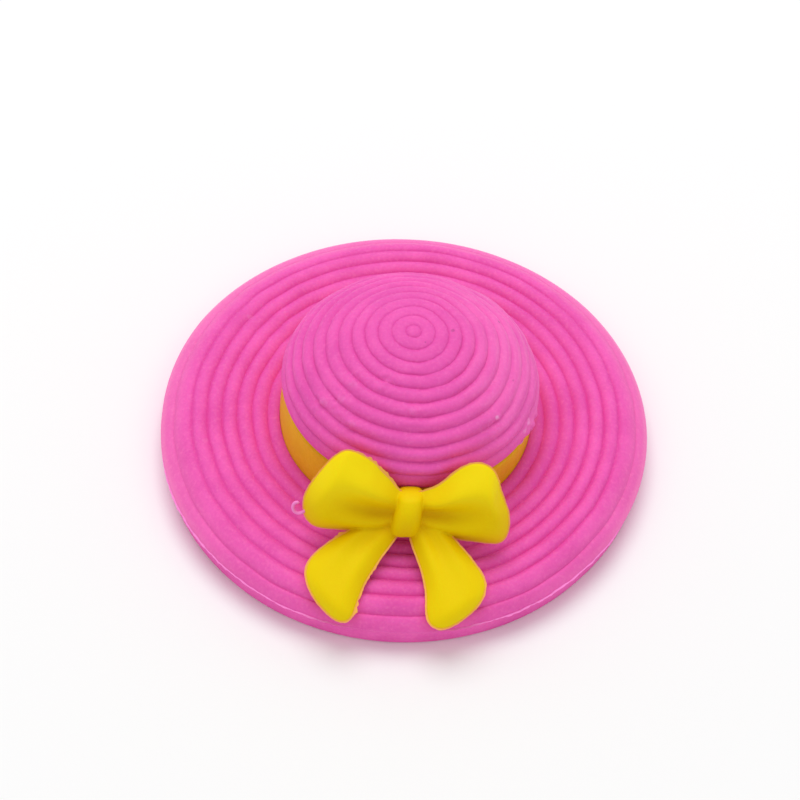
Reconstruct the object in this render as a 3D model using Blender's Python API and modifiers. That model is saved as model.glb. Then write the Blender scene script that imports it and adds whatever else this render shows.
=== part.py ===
"""A take-apart rubber eraser in the shape of a wide-brimmed sun hat.

Four mouldings, one object each: the ribbed brim, the ribbon band that stands in a seat on it, the
ribbed crown whose plug holds both together, and the bow that plugs into the front of the band.
Metres, +Z up. The origin is the middle of the underside, and the bow faces -Y.
"""

import math

import bmesh
import bpy
import numpy as np
from mathutils import Matrix, Vector

MM = 0.001

# Fits
FIT_GAP = 0.3 * MM
CHAMFER = 0.3 * MM

# Brim: its first rib starts at the band, and its plain edge is at least as wide as named here
BRIM_RADIUS = 24.0 * MM
BRIM_FOOT_INSET = 0.4 * MM
BRIM_FOOT_ROUND = 0.4 * MM
BRIM_THICKNESS = 4.4 * MM
BRIM_PARTING_HEIGHT = 2.65 * MM
BRIM_EDGE_WIDTH = 3.1 * MM
BRIM_EDGE_CURVE = 1.5
BRIM_LIP_HEIGHT = 0.15 * MM
BRIM_PLAIN_EDGE = 1.5 * MM
BRIM_FIRST_RIB = 1.17 * MM
BRIM_RIB_PITCH = 1.48 * MM
BRIM_RIB_HEIGHT = 0.32 * MM
SEAT_DEPTH = 0.5 * MM

# Ribbon band
BAND_RADIUS = 12.35 * MM
BAND_SHOW = 5.2 * MM
SHOULDER_WIDTH = 1.0 * MM
SHOULDER_RISE = 0.8 * MM

# Crown: its rim overhangs the band, and its plain rim is at least as wide as named here
CROWN_OVERHANG = 0.05 * MM
CROWN_RISE = 8.3 * MM
CROWN_RIM_ROUND = 0.25 * MM
CROWN_PLAIN_RIM = 1.5 * MM
CROWN_BUTTON_RADIUS = 0.76 * MM
CROWN_RIB_PITCH = 1.38 * MM
CROWN_RIB_HEIGHT = 0.28 * MM
PLUG_RADIUS = 8.2 * MM
PLUG_INSET = 0.6 * MM
PLUG_WALL = 2.6 * MM
HOLLOW_TAPER = 0.7 * MM
HOLLOW_ROUND = 0.9 * MM
ROOF_THICKNESS = 5.0 * MM

# Bow: rises are from the brim's top, standoffs from the band's wall
PEG_RADIUS = 1.2 * MM
PEG_RISE = 2.8 * MM
PEG_ROOT = 1.9 * MM
PEG_BACK_WALL = 0.95 * MM
BOW_GRID = 1.0 * MM
LOOP_LEAN = math.radians(25.0)
LOOP_RISE = 4.4 * MM
LOOP_STANDOFF = 2.35 * MM
TAIL_RISE = 3.1 * MM
TAIL_DROP = 3.7 * MM
TAIL_STANDOFF = 2.25 * MM
TAIL_OVERHANG = 1.7 * MM
KNOT_SIDE = 0.3 * MM
KNOT_FRONT = 1.9 * MM
KNOT_BACK = 2.7 * MM

# Fineness of the meshes
ROUND_STEPS = 48
RIB_STEPS = 3
EDGE_STEPS = 4
PEG_STEPS = 24
SOFT_LEVELS = 2

# Places that follow from the sizes above
SEAT_HEIGHT = BRIM_THICKNESS - SEAT_DEPTH
SEAT_RADIUS = BAND_RADIUS + FIT_GAP
FIRST_GROOVE = BAND_RADIUS + BRIM_FIRST_RIB
BORE_RADIUS = PLUG_RADIUS + FIT_GAP
BAND_BOTTOM = SEAT_HEIGHT + FIT_GAP
RIM_HEIGHT = BRIM_THICKNESS + BAND_SHOW
BAND_WALL_TOP = RIM_HEIGHT - FIT_GAP
CROWN_RADIUS = BAND_RADIUS + CROWN_OVERHANG
PEG_HEIGHT = BRIM_THICKNESS + PEG_RISE
HOLE_DEPTH = BAND_RADIUS - BORE_RADIUS - PEG_BACK_WALL
TAIL_RUN = BRIM_RADIUS + TAIL_OVERHANG - BAND_RADIUS - TAIL_STANDOFF
TAIL_REACH = math.hypot(TAIL_RUN, TAIL_DROP)
TAIL_SLOPE = math.atan2(TAIL_DROP, TAIL_RUN)

# Each loop's ribs run from its lower edge to its upper edge, from the knot outwards, in steps of the bow's
# grid: (lower x, lower height, upper x, upper height, front fullness, back fullness, valley, bulge).
LEFT_LOOP = (
    (-0.4, -1.2, -0.4, 2.0, 0.9, 1.0, 0.5, 0.0),
    (-1.9, -1.9, -1.7, 4.5, 1.5, 1.1, 1.2, 0.0),
    (-4.6, -2.1, -4.0, 6.7, 2.0, 1.2, 1.1, 0.0),
    (-7.6, -2.1, -6.0, 7.2, 1.9, 1.2, 0.4, 0.2),
    (-9.8, -1.3, -8.1, 5.4, 1.0, 0.8, 0.1, 0.9),
)
RIGHT_LOOP = (
    (0.8, -1.3, 0.8, 2.0, 0.9, 1.0, 0.5, 0.0),
    (2.5, -2.1, 2.4, 3.2, 1.5, 1.1, 1.2, 0.0),
    (5.1, -2.8, 4.6, 5.3, 2.0, 1.2, 1.1, 0.0),
    (8.1, -3.4, 7.1, 6.4, 1.9, 1.2, 0.4, 0.2),
    (10.2, -2.8, 8.9, 4.7, 1.0, 0.8, 0.1, 0.7),
)

# Each tail's ribs run from its inner edge to its outer edge, from the knot to the tip. The places along
# the tail are shares of its reach, and the rest is in steps of the bow's grid:
# (inner x, inner place, outer x, outer place, top fullness, underside fullness, lift).
LEFT_TAIL = (
    (-0.3, -0.03, -2.4, -0.14, 1.2, 1.0, 0.0),
    (-1.1, 0.19, -5.0, 0.05, 1.4, 0.8, 0.3),
    (-2.6, 0.42, -7.8, 0.25, 1.5, 0.6, 0.3),
    (-3.9, 0.67, -9.6, 0.45, 1.5, 0.4, 0.1),
    (-5.0, 0.99, -9.0, 0.68, 0.9, 0.3, 0.0),
)
RIGHT_TAIL = (
    (0.4, -0.03, 2.4, -0.12, 1.2, 1.0, 0.0),
    (0.9, 0.22, 4.5, 0.10, 1.4, 0.8, 0.3),
    (1.9, 0.44, 6.6, 0.33, 1.5, 0.6, 0.3),
    (2.1, 0.70, 8.3, 0.55, 1.5, 0.4, 0.1),
    (2.6, 1.00, 7.5, 0.79, 0.9, 0.3, 0.0),
)

# The knot's rings run up its front: (height along the lean, half width, share of full thickness), in mm.
KNOT_RINGS = (
    (-2.2, 1.1, 0.55),
    (-1.6, 1.75, 1.0),
    (0.3, 1.55, 1.05),
    (2.0, 1.4, 1.0),
    (2.6, 1.0, 0.5),
)

# Shares of a rib's width: how far in its full front and back start, and how far its cage edge stands out
FRONT_INSET = 0.16
BACK_INSET = 0.24
EDGE_PUSH = 0.08

# Where the knot's corners stand, as shares of its half width and of its front
KNOT_CORNER_OUT = 0.85
KNOT_CORNER_UP = 0.8


def clear_scene():
    for obj in list(bpy.data.objects):
        bpy.data.objects.remove(obj, do_unlink=True)


def new_collection(name):
    collection = bpy.data.collections.new(name)
    bpy.context.scene.collection.children.link(collection)
    return collection


def rubber(name, colour, roughness):
    material = bpy.data.materials.new(name)
    material.use_nodes = True
    shader = material.node_tree.nodes["Principled BSDF"]
    shader.inputs["Base Color"].default_value = (*colour, 1.0)
    shader.inputs["Roughness"].default_value = roughness
    shader.inputs["Metallic"].default_value = 0.0
    return material


def new_object(name, mesh, collection, origin=(0.0, 0.0, 0.0)):
    """An object whose mesh, given in world places, is stored about its own origin."""
    mesh.transform(Matrix.Translation(-Vector(origin)))
    obj = bpy.data.objects.new(name, mesh)
    obj.location = origin
    collection.objects.link(obj)
    return obj


def turned(name, profile, closed, collection, origin):
    """A body of revolution about Z from (radius, height) points that run down its outer side."""
    mesh = bpy.data.meshes.new(name)
    count = len(profile)
    edges = [(i, i + 1) for i in range(count - 1)]
    if closed:
        edges.append((count - 1, 0))
    mesh.from_pydata([(radius, 0.0, height) for radius, height in profile], edges, [])
    obj = new_object(name, mesh, collection, origin)
    screw = obj.modifiers.new("Turn", "SCREW")
    screw.axis = "Z"
    screw.angle = 2.0 * math.pi
    screw.steps = ROUND_STEPS
    screw.render_steps = ROUND_STEPS
    screw.use_merge_vertices = True
    screw.merge_threshold = 0.000001
    screw.use_smooth_shade = True
    return obj


def as_cutter(obj):
    obj.hide_render = True
    obj.display_type = "WIRE"
    return obj


def rod(name, radius, start, end, steps, collection):
    """A round rod from one point to another, with flat ends."""
    axis = Vector(end) - Vector(start)
    shape = bmesh.new()
    bmesh.ops.create_cone(
        shape, cap_ends=True, segments=steps, radius1=radius, radius2=radius, depth=axis.length
    )
    turn = axis.to_track_quat("Z", "Y").to_matrix().to_4x4()
    middle = (Vector(start) + Vector(end)) / 2.0
    bmesh.ops.transform(shape, matrix=Matrix.Translation(middle) @ turn, verts=shape.verts)
    mesh = bpy.data.meshes.new(name)
    shape.to_mesh(mesh)
    shape.free()
    return new_object(name, mesh, collection)


def boolean(obj, operation, other, solver="EXACT"):
    modifier = obj.modifiers.new(f"{operation.title()} {other.name}", "BOOLEAN")
    modifier.operation = operation
    modifier.solver = solver
    modifier.object = other


def settled(obj, sharp_degrees=40.0):
    """The object with its modifiers applied, shaded smooth up to the given edge angle."""
    bpy.context.view_layer.update()
    evaluated = obj.evaluated_get(bpy.context.evaluated_depsgraph_get())
    mesh = bpy.data.meshes.new_from_object(evaluated)
    mesh.name = obj.name
    obj.modifiers.clear()
    obj.data = mesh
    mesh.shade_smooth()
    mesh.set_sharp_from_angle(angle=math.radians(sharp_degrees))
    return obj


def rib(distance, pitch):
    """The share of a rib's height at a distance from a groove: round on top, with a sharp groove."""
    return abs(math.sin(math.pi * distance / pitch))


def brim_base(radius):
    """The height of the brim's top without its ribs: flat, then falling ever faster to the parting line."""
    over = max(0.0, radius - (BRIM_RADIUS - BRIM_EDGE_WIDTH)) / BRIM_EDGE_WIDTH
    drop = BRIM_THICKNESS - BRIM_PARTING_HEIGHT
    return BRIM_THICKNESS - drop * over**BRIM_EDGE_CURVE


def brim_top_points():
    """The ribbed top, from the seat's wall out to the parting line."""
    ribs = math.floor((BRIM_RADIUS - BRIM_PLAIN_EDGE - FIRST_GROOVE) / BRIM_RIB_PITCH)
    last_groove = FIRST_GROOVE + ribs * BRIM_RIB_PITCH
    step = BRIM_RIB_PITCH / RIB_STEPS
    radii = [SEAT_RADIUS, (SEAT_RADIUS + FIRST_GROOVE) / 2.0]
    radii += [FIRST_GROOVE + i * step for i in range(ribs * RIB_STEPS + 1)]
    points = []
    for radius in radii:
        ribbed = BRIM_RIB_HEIGHT * rib(radius - FIRST_GROOVE, BRIM_RIB_PITCH)
        points.append((radius, brim_base(radius) + ribbed))
    for i in range(1, EDGE_STEPS + 1):
        share = i / EDGE_STEPS
        radius = last_groove + (BRIM_RADIUS - last_groove) * share
        points.append((radius, brim_base(radius) + BRIM_LIP_HEIGHT * math.sin(math.pi * share)))
    return points


def arc(centre, radius, start_degrees, end_degrees, steps):
    """Points on a circle in the profile's plane, angles counted from +radius towards +height."""
    points = []
    for i in range(steps + 1):
        angle = math.radians(start_degrees + (end_degrees - start_degrees) * i / steps)
        points.append((centre[0] + radius * math.cos(angle), centre[1] + radius * math.sin(angle)))
    return points


def make_brim(collection):
    foot_centre = (BRIM_RADIUS - BRIM_FOOT_INSET - BRIM_FOOT_ROUND, BRIM_FOOT_ROUND)
    profile = brim_top_points()
    profile += arc(foot_centre, BRIM_FOOT_ROUND, 0.0, -90.0, 3)
    profile += [
        (BORE_RADIUS + CHAMFER, 0.0),
        (BORE_RADIUS, CHAMFER),
        (BORE_RADIUS, SEAT_HEIGHT),
        (SEAT_RADIUS, SEAT_HEIGHT),
    ]
    return settled(turned("brim", profile, True, collection, (0.0, 0.0, 0.0)))


def make_band(collection, cutters):
    """A ring whose top slopes up inwards, so that it tucks under the crown's rim."""
    inner_top = RIM_HEIGHT - FIT_GAP + SHOULDER_RISE
    profile = [
        (BAND_RADIUS - CHAMFER - SHOULDER_WIDTH, inner_top),
        (BAND_RADIUS - CHAMFER, BAND_WALL_TOP),
        (BAND_RADIUS, BAND_WALL_TOP - CHAMFER),
        (BAND_RADIUS, BAND_BOTTOM + CHAMFER),
        (BAND_RADIUS - CHAMFER, BAND_BOTTOM),
        (BORE_RADIUS + CHAMFER, BAND_BOTTOM),
        (BORE_RADIUS, BAND_BOTTOM + CHAMFER),
        (BORE_RADIUS, inner_top - CHAMFER),
        (BORE_RADIUS + CHAMFER, inner_top),
    ]
    band = turned("ribbon_band", profile, True, collection, (0.0, 0.0, BAND_BOTTOM))
    hole = rod(
        "peg_hole",
        PEG_RADIUS + FIT_GAP,
        (0.0, -BAND_RADIUS - PEG_ROOT, PEG_HEIGHT),
        (0.0, -BAND_RADIUS + HOLE_DEPTH, PEG_HEIGHT),
        PEG_STEPS,
        cutters,
    )
    boolean(band, "DIFFERENCE", as_cutter(hole))
    return settled(band)


def dome_point(share_from_apex, lift):
    """A point of the dome's half ellipse, pushed out along its normal."""
    angle = share_from_apex * math.pi / 2.0
    start = RIM_HEIGHT + CROWN_RIM_ROUND
    radius = CROWN_RADIUS * math.sin(angle)
    height = start + CROWN_RISE * math.cos(angle)
    normal = Vector((CROWN_RISE * math.sin(angle), CROWN_RADIUS * math.cos(angle))).normalized()
    return radius + lift * normal[0], height + lift * normal[1]


def dome_points():
    """The ribbed dome from the apex to the rim, with its grooves evenly spaced along the curve."""
    angles = np.linspace(0.0, math.pi / 2.0, 2001)
    run = np.hypot(
        np.diff(CROWN_RADIUS * np.sin(angles)), np.diff(CROWN_RISE * np.cos(angles))
    )
    along = np.concatenate([[0.0], np.cumsum(run)])
    ribs = math.floor((along[-1] - CROWN_PLAIN_RIM - CROWN_BUTTON_RADIUS) / CROWN_RIB_PITCH)
    last_groove = CROWN_BUTTON_RADIUS + ribs * CROWN_RIB_PITCH
    step = CROWN_RIB_PITCH / RIB_STEPS
    button_middle = CROWN_BUTTON_RADIUS / 2.0
    marks = [(0.0, 1.0), (button_middle, rib(button_middle, 2.0 * CROWN_BUTTON_RADIUS))]
    for i in range(ribs * RIB_STEPS + 1):
        marks.append((CROWN_BUTTON_RADIUS + i * step, rib(i * step, CROWN_RIB_PITCH)))
    for i in range(1, EDGE_STEPS + 1):
        marks.append((last_groove + (along[-1] - last_groove) * i / EDGE_STEPS, 0.0))
    points = []
    for distance, height in marks:
        share = np.interp(distance, along, angles) / (math.pi / 2.0)
        points.append(dome_point(share, CROWN_RIB_HEIGHT * height))
    points[0] = (0.0, points[0][1])
    return points


def make_crown(collection):
    """The dome and, under it, the plug that passes through the band and the brim, hollow from below."""
    shoulder_top = RIM_HEIGHT + SHOULDER_RISE
    mouth_radius = PLUG_RADIUS - PLUG_WALL
    top_radius = mouth_radius - HOLLOW_TAPER
    hollow_top = RIM_HEIGHT + CROWN_RIM_ROUND + CROWN_RISE - ROOF_THICKNESS
    rim_centre = (CROWN_RADIUS - CROWN_RIM_ROUND, RIM_HEIGHT + CROWN_RIM_ROUND)
    profile = dome_points()
    profile += arc(rim_centre, CROWN_RIM_ROUND, -30.0, -90.0, 2)
    profile += [
        (CROWN_RADIUS - CROWN_RIM_ROUND - SHOULDER_WIDTH, shoulder_top),
        (PLUG_RADIUS, shoulder_top),
        (PLUG_RADIUS, PLUG_INSET + CHAMFER),
        (PLUG_RADIUS - CHAMFER, PLUG_INSET),
        (mouth_radius + CHAMFER, PLUG_INSET),
        (mouth_radius, PLUG_INSET + CHAMFER),
        (top_radius, hollow_top - HOLLOW_ROUND),
        (top_radius - HOLLOW_ROUND, hollow_top),
        (0.0, hollow_top),
    ]
    return settled(turned("crown", profile, False, collection, (0.0, 0.0, RIM_HEIGHT)))


def lofted(name, rings, collection):
    """A soft body from a coarse cage: rings of equally many points, closed at both ends, subdivided."""
    shape = bmesh.new()
    placed = [[shape.verts.new(point) for point in ring] for ring in rings]
    size = len(rings[0])
    for near, far in zip(placed, placed[1:]):
        for i in range(size):
            j = (i + 1) % size
            shape.faces.new((near[i], near[j], far[j], far[i]))
    shape.faces.new(placed[0])
    shape.faces.new(placed[-1])
    bmesh.ops.recalc_face_normals(shape, faces=shape.faces)
    mesh = bpy.data.meshes.new(name)
    shape.to_mesh(mesh)
    shape.free()
    obj = new_object(name, mesh, collection)
    subdivision = obj.modifiers.new("Soften", "SUBSURF")
    subdivision.levels = SOFT_LEVELS
    subdivision.render_levels = SOFT_LEVELS
    return obj


def loop_plane():
    """Middle, along and outward directions of the plane that both loops and the knot lie in."""
    middle = Vector((0.0, -BAND_RADIUS - LOOP_STANDOFF, BRIM_THICKNESS + LOOP_RISE))
    along = Vector((0.0, math.sin(LOOP_LEAN), math.cos(LOOP_LEAN)))
    outward = Vector((0.0, -math.cos(LOOP_LEAN), math.sin(LOOP_LEAN)))
    return middle, along, outward


def tail_plane():
    """Middle, along and upward directions of the plane that both tails lie in."""
    middle = Vector((0.0, -BAND_RADIUS - TAIL_STANDOFF, BRIM_THICKNESS + TAIL_RISE))
    along = Vector((0.0, -math.cos(TAIL_SLOPE), -math.sin(TAIL_SLOPE)))
    upward = Vector((0.0, -math.sin(TAIL_SLOPE), math.cos(TAIL_SLOPE)))
    return middle, along, upward


def plane_point(plane, x, reach, lift):
    middle, along, outward = plane
    return middle + Vector((x, 0.0, 0.0)) + along * reach + outward * lift


def loop_ring(rib_sizes):
    """A cage ring round one rib of a loop: lower edge, front with its valley, upper edge, back."""
    low_x, low, high_x, high, front, back, valley, bulge = [size * BOW_GRID for size in rib_sizes]
    side = math.copysign(1.0, low_x)
    places = (
        (-EDGE_PUSH, 0.0, 0.0),
        (FRONT_INSET, front, bulge * 0.5),
        (0.5, front - valley, bulge),
        (1.0 - FRONT_INSET, front, bulge * 0.5),
        (1.0 + EDGE_PUSH, 0.0, 0.0),
        (1.0 - BACK_INSET, -back, bulge * 0.5),
        (BACK_INSET, -back, bulge * 0.5),
    )
    plane = loop_plane()
    ring = []
    for share, lift, outward in places:
        x = low_x + (high_x - low_x) * share + side * outward
        ring.append(plane_point(plane, x, low + (high - low) * share, lift))
    return ring


def tail_ring(rib_sizes):
    """A cage ring round one rib of a tail: inner edge, rounded top, outer edge, flat underside."""
    inner_x, inner, outer_x, outer, *heights = rib_sizes
    top, under, lift = [height * BOW_GRID for height in heights]
    places = (
        (-EDGE_PUSH, 0.0),
        (BACK_INSET, top),
        (1.0 - BACK_INSET, top),
        (1.0 + EDGE_PUSH, 0.0),
        (1.0 - BACK_INSET, -under),
        (BACK_INSET, -under),
    )
    plane = tail_plane()
    ring = []
    for share, height in places:
        x = (inner_x + (outer_x - inner_x) * share) * BOW_GRID
        reach = (inner + (outer - inner) * share) * TAIL_REACH
        ring.append(plane_point(plane, x, reach, height + lift))
    return ring


def knot_ring(height, half_width, fullness):
    """A cage ring across the knot: a rounded oblong, deeper behind than in front."""
    plane = loop_plane()
    front = KNOT_FRONT * fullness
    back = KNOT_BACK * fullness
    corner = half_width * KNOT_CORNER_OUT
    corners = (
        (-half_width, 0.0),
        (-corner, front * KNOT_CORNER_UP),
        (0.0, front),
        (corner, front * KNOT_CORNER_UP),
        (half_width, 0.0),
        (corner, -back),
        (-corner, -back),
    )
    return [plane_point(plane, KNOT_SIDE + x, height, lift) for x, lift in corners]


def make_bow(collection, cutters):
    """Loops, knot, tails and peg as one body, its back hollowed to clear the band and the crown."""
    rings = [knot_ring(height * BOW_GRID, half * BOW_GRID, full) for height, half, full in KNOT_RINGS]
    bow = lofted("bow", rings, collection)
    for name, ribs, ring in (
        ("left_loop", LEFT_LOOP, loop_ring),
        ("right_loop", RIGHT_LOOP, loop_ring),
        ("left_tail", LEFT_TAIL, tail_ring),
        ("right_tail", RIGHT_TAIL, tail_ring),
    ):
        shape = lofted(name, [ring(sizes) for sizes in ribs], cutters)
        boolean(bow, "UNION", as_cutter(shape), "MANIFOLD")
    widest = CROWN_RADIUS + FIT_GAP
    top = RIM_HEIGHT + 2.0 * CROWN_RISE
    room = rod("hat_room", widest, (0.0, 0.0, 0.0), (0.0, 0.0, top), 2 * ROUND_STEPS, cutters)
    boolean(bow, "DIFFERENCE", as_cutter(room), "MANIFOLD")
    peg = rod(
        "peg",
        PEG_RADIUS,
        (0.0, -BAND_RADIUS - PEG_ROOT, PEG_HEIGHT),
        (0.0, -BAND_RADIUS + HOLE_DEPTH - FIT_GAP, PEG_HEIGHT),
        PEG_STEPS,
        cutters,
    )
    boolean(bow, "UNION", as_cutter(peg), "MANIFOLD")
    settled(bow, 50.0)
    seat = Vector((0.0, -BAND_RADIUS, PEG_HEIGHT))
    bow.data.transform(Matrix.Translation(-seat))
    bow.location = seat
    return bow


def hang_on(child, parent):
    """Parents an object and keeps its place."""
    child.parent = parent
    child.location = Vector(child.location) - place_of(parent)


def place_of(obj):
    place = Vector(obj.location)
    while obj.parent:
        obj = obj.parent
        place += Vector(obj.location)
    return place


def main():
    clear_scene()
    hat = new_collection("sun_hat_eraser")
    cutters = new_collection("cutters")
    brim = make_brim(hat)
    band = make_band(hat, cutters)
    crown = make_crown(hat)
    bow = make_bow(hat, cutters)
    hang_on(band, brim)
    hang_on(crown, band)
    hang_on(bow, band)
    brim.data.materials.append(rubber("pink_rubber", (0.87, 0.11, 0.45), 0.55))
    crown.data.materials.append(rubber("rose_rubber", (0.80, 0.10, 0.42), 0.55))
    band.data.materials.append(rubber("amber_rubber", (0.62, 0.28, 0.01), 0.5))
    bow.data.materials.append(rubber("lemon_rubber", (0.87, 0.66, 0.01), 0.5))


main()
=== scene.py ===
"""Looks of a take-apart rubber eraser in the shape of a wide-brimmed sun hat.

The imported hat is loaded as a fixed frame, and each of its four mouldings gets a finer surface and its
rubber. Metres, +Z up. The origin is the middle of the underside, and the bow faces -Y.
"""

import math

import bmesh
import bpy
import numpy as np
from bpy.props import FloatProperty, FloatVectorProperty, PointerProperty
from mathutils import Matrix, Vector


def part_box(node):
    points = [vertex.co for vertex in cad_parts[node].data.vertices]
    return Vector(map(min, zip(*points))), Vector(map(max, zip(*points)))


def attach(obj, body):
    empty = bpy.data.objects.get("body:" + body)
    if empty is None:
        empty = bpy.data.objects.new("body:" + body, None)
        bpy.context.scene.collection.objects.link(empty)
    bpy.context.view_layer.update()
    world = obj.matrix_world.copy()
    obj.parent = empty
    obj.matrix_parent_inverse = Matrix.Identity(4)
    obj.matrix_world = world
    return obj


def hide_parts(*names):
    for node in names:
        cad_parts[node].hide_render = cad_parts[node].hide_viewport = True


bl_info = {
    "name": "Sun Hat Eraser",
    "version": (1, 0, 0),
    "blender": (4, 5, 0),
    "location": "3D View > Sidebar > Sun Hat",
    "description": "Builds the surfaces, rubber and stage of a sun hat eraser",
    "category": "Add Mesh",
}

MM = 0.001

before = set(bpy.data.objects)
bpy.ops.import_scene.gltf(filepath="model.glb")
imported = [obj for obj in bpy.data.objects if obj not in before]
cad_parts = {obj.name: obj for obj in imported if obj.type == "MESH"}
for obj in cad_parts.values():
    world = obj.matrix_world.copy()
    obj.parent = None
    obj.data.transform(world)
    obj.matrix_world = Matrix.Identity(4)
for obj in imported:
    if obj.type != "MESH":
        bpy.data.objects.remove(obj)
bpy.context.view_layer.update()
BRIM_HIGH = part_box("brim")[1]
BAND_LOW, BAND_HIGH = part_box("ribbon_band")
CROWN_LOW, CROWN_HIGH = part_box("crown")

# Fits and fineness
FIT_GAP = 0.3 * MM
CHAMFER = 0.3 * MM
SMALL_EDGE = 0.05 * MM
MERGE_REACH = 0.002 * MM
LATTICE = 32
RIB_STEPS = 14
CURVE_STEPS = 24
ROUND_COLUMNS = 480
BAND_COLUMNS = 240
LOBE_COLUMNS = 96
LOBE_ROWS = 30
PEG_COLUMNS = 48

# Brim
BORE_RADIUS = 8.5 * MM
SEAT_DEPTH = 0.5 * MM
SEAT_RADIUS = BAND_HIGH.x + 0.01 * MM
BRIM_RIBS = 6
BRIM_RIB_SOFTNESS = 0.09
BRIM_RIB_ROUNDNESS = 0.65
BRIM_WIDER_RIB = 0.3 * MM
BRIM_EDGE_WIDTH = 3.1 * MM
BRIM_EDGE_STEPS = 30
BRIM_LIP_HEIGHT = 0.15 * MM
BRIM_WALL_ROWS = 14
BRIM_WALL_ROUGHNESS = 0.0008
BRIM_FOOT_INSET = 0.8 * MM
BRIM_FOOT_ROUND = 0.4 * MM
BRIM_RIGHT_DRIFT = 0.13 * MM
BRIM_FRONT_DRIFT = 0.25 * MM
BRIM_OFF_ROUND = (18.0 * MM, 23.0 * MM)
# How far the brim's edge is off its circle: degrees and mm
BRIM_EDGE_PLACES = (
    (0, 0.0), (40, 0.0), (65, -0.14), (90, -0.2), (120, -0.08), (150, 0.12), (178, 0.02),
    (205, 0.22), (240, 0.24), (265, 0.12), (290, -0.04), (318, -0.18), (340, -0.04),
)

# Band
BAND_WALL_ROWS = 26
BAND_WALL_ROUGHNESS = 0.0012

# Crown
RIM_HEIGHT = 9.6 * MM
RIM_ROUND = 0.25 * MM
CROWN_RISE = 8.15 * MM
CROWN_POWER = 1.65
DOME_STEPS = 4000
CROWN_RIM_ROWS = 20
CROWN_BUTTON = 0.76 * MM
CROWN_PLAIN_RIM = 1.5 * MM
CROWN_TOPWARD_DRIFT = 0.22 * MM
CROWN_BACK_DIP = 0.3 * MM
CROWN_SLOPE = (0.042, 0.01)
CROWN_SHIFT = (0.3 * MM, -0.05 * MM)
SHOULDER_WIDTH = 1.0 * MM
SHOULDER_RISE = 0.8 * MM
HOLLOW_MOUTH = 5.6 * MM
HOLLOW_RADIUS = 4.9 * MM
HOLLOW_ROUND = 0.9 * MM
HOLLOW_TOP = 13.15 * MM

# Unevenness. Lumps are (height in mm, size in mm, seed), and waves round the hat are (height in mm, seed,
# fewest waves, most waves).
BRIM_DRIFT = ((0.05, 3, 2, 9), (0.02, 4, 10, 40))
BRIM_STRAY = ((0.05, 3.0, 14),)
BRIM_LUMPS = ((0.03, 2.5, 11), (0.008, 0.5, 12))
CROWN_DRIFT = ((0.045, 6, 1, 7), (0.02, 7, 8, 30))
CROWN_STRAY = ((0.07, 2.6, 33), (0.035, 1.1, 34))
CROWN_LUMPS = ((0.03, 2.0, 31), (0.008, 0.5, 32))
CROWN_SCUFF = ((0.14, 0.42, 36),)

# Scuffed lumps on the dome, in mm: place before it leans, height, reach
CROWN_BUMPS = (
    ((-8.37, -6.14, 13.96), 0.14, 0.45),
    ((-6.86, -6.24, 14.88), 0.12, 0.5),
    ((-5.6, -5.05, 15.95), 0.12, 0.5),
    ((-2.68, -5.26, 16.7), 0.06, 0.4),
    ((0.1, -7.83, 15.79), 0.07, 0.5),
    ((-5.55, -8.55, 14.13), 0.1, 0.45),
    ((8.16, -6.6, 13.85), 0.2, 0.3),
    ((11.56, -4.38, 10.2), 0.4, 0.45),
    ((11.85, -3.3, 10.3), 0.25, 0.35),
    ((11.18, -5.33, 10.1), 0.25, 0.4),
)
# Marks in the rubber: place and reach in mm, strength
BRIM_PALE_MARKS = (
    ((-15.82, 11.49, 4.5), 0.5, 0.2),
    ((17.8, -9.87, 4.5), 0.35, 0.5),
    ((4.84, -21.41, 4.16), 0.3, 0.8),
    ((-19.5, -4.0, 4.6), 0.4, 0.2),
)
CROWN_PALE_MARKS = (
    ((8.42, -6.92, 14.0), 0.3, 0.9),
    ((-8.01, -6.37, 14.76), 0.6, 0.18),
    ((-6.46, -6.53, 15.6), 0.7, 0.14),
    ((-5.27, -5.43, 16.55), 0.7, 0.11),
    ((0.37, -8.24, 16.2), 0.6, 0.11),
    ((-5.31, -8.86, 14.9), 0.5, 0.13),
    ((11.71, -4.89, 10.6), 0.4, 0.8),
    ((11.35, -5.8, 10.45), 0.35, 0.7),
)
CROWN_DARK_MARKS = (
    ((8.64, 3.88, 14.9), 0.22, 0.45),
    ((4.03, 0.67, 17.43), 0.24, 0.35),
    ((10.05, -2.62, 14.19), 0.22, 0.35),
    ((1.42, -1.28, 17.99), 0.14, 0.3),
)
DARK_MARK_TINT = (0.12, 0.02, 0.08)

# Bow: the plane of the loops leans back, and the plane of the tails slopes down to the brim's edge
LOOP_LEAN = math.radians(25.0)
LOOP_MIDDLE = Vector((0.0, -14.7, 8.8)) * MM
TAIL_SLOPE = math.atan2(3.7, 11.1)
TAIL_MIDDLE = Vector((0.0, -14.6, 7.5)) * MM

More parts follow.
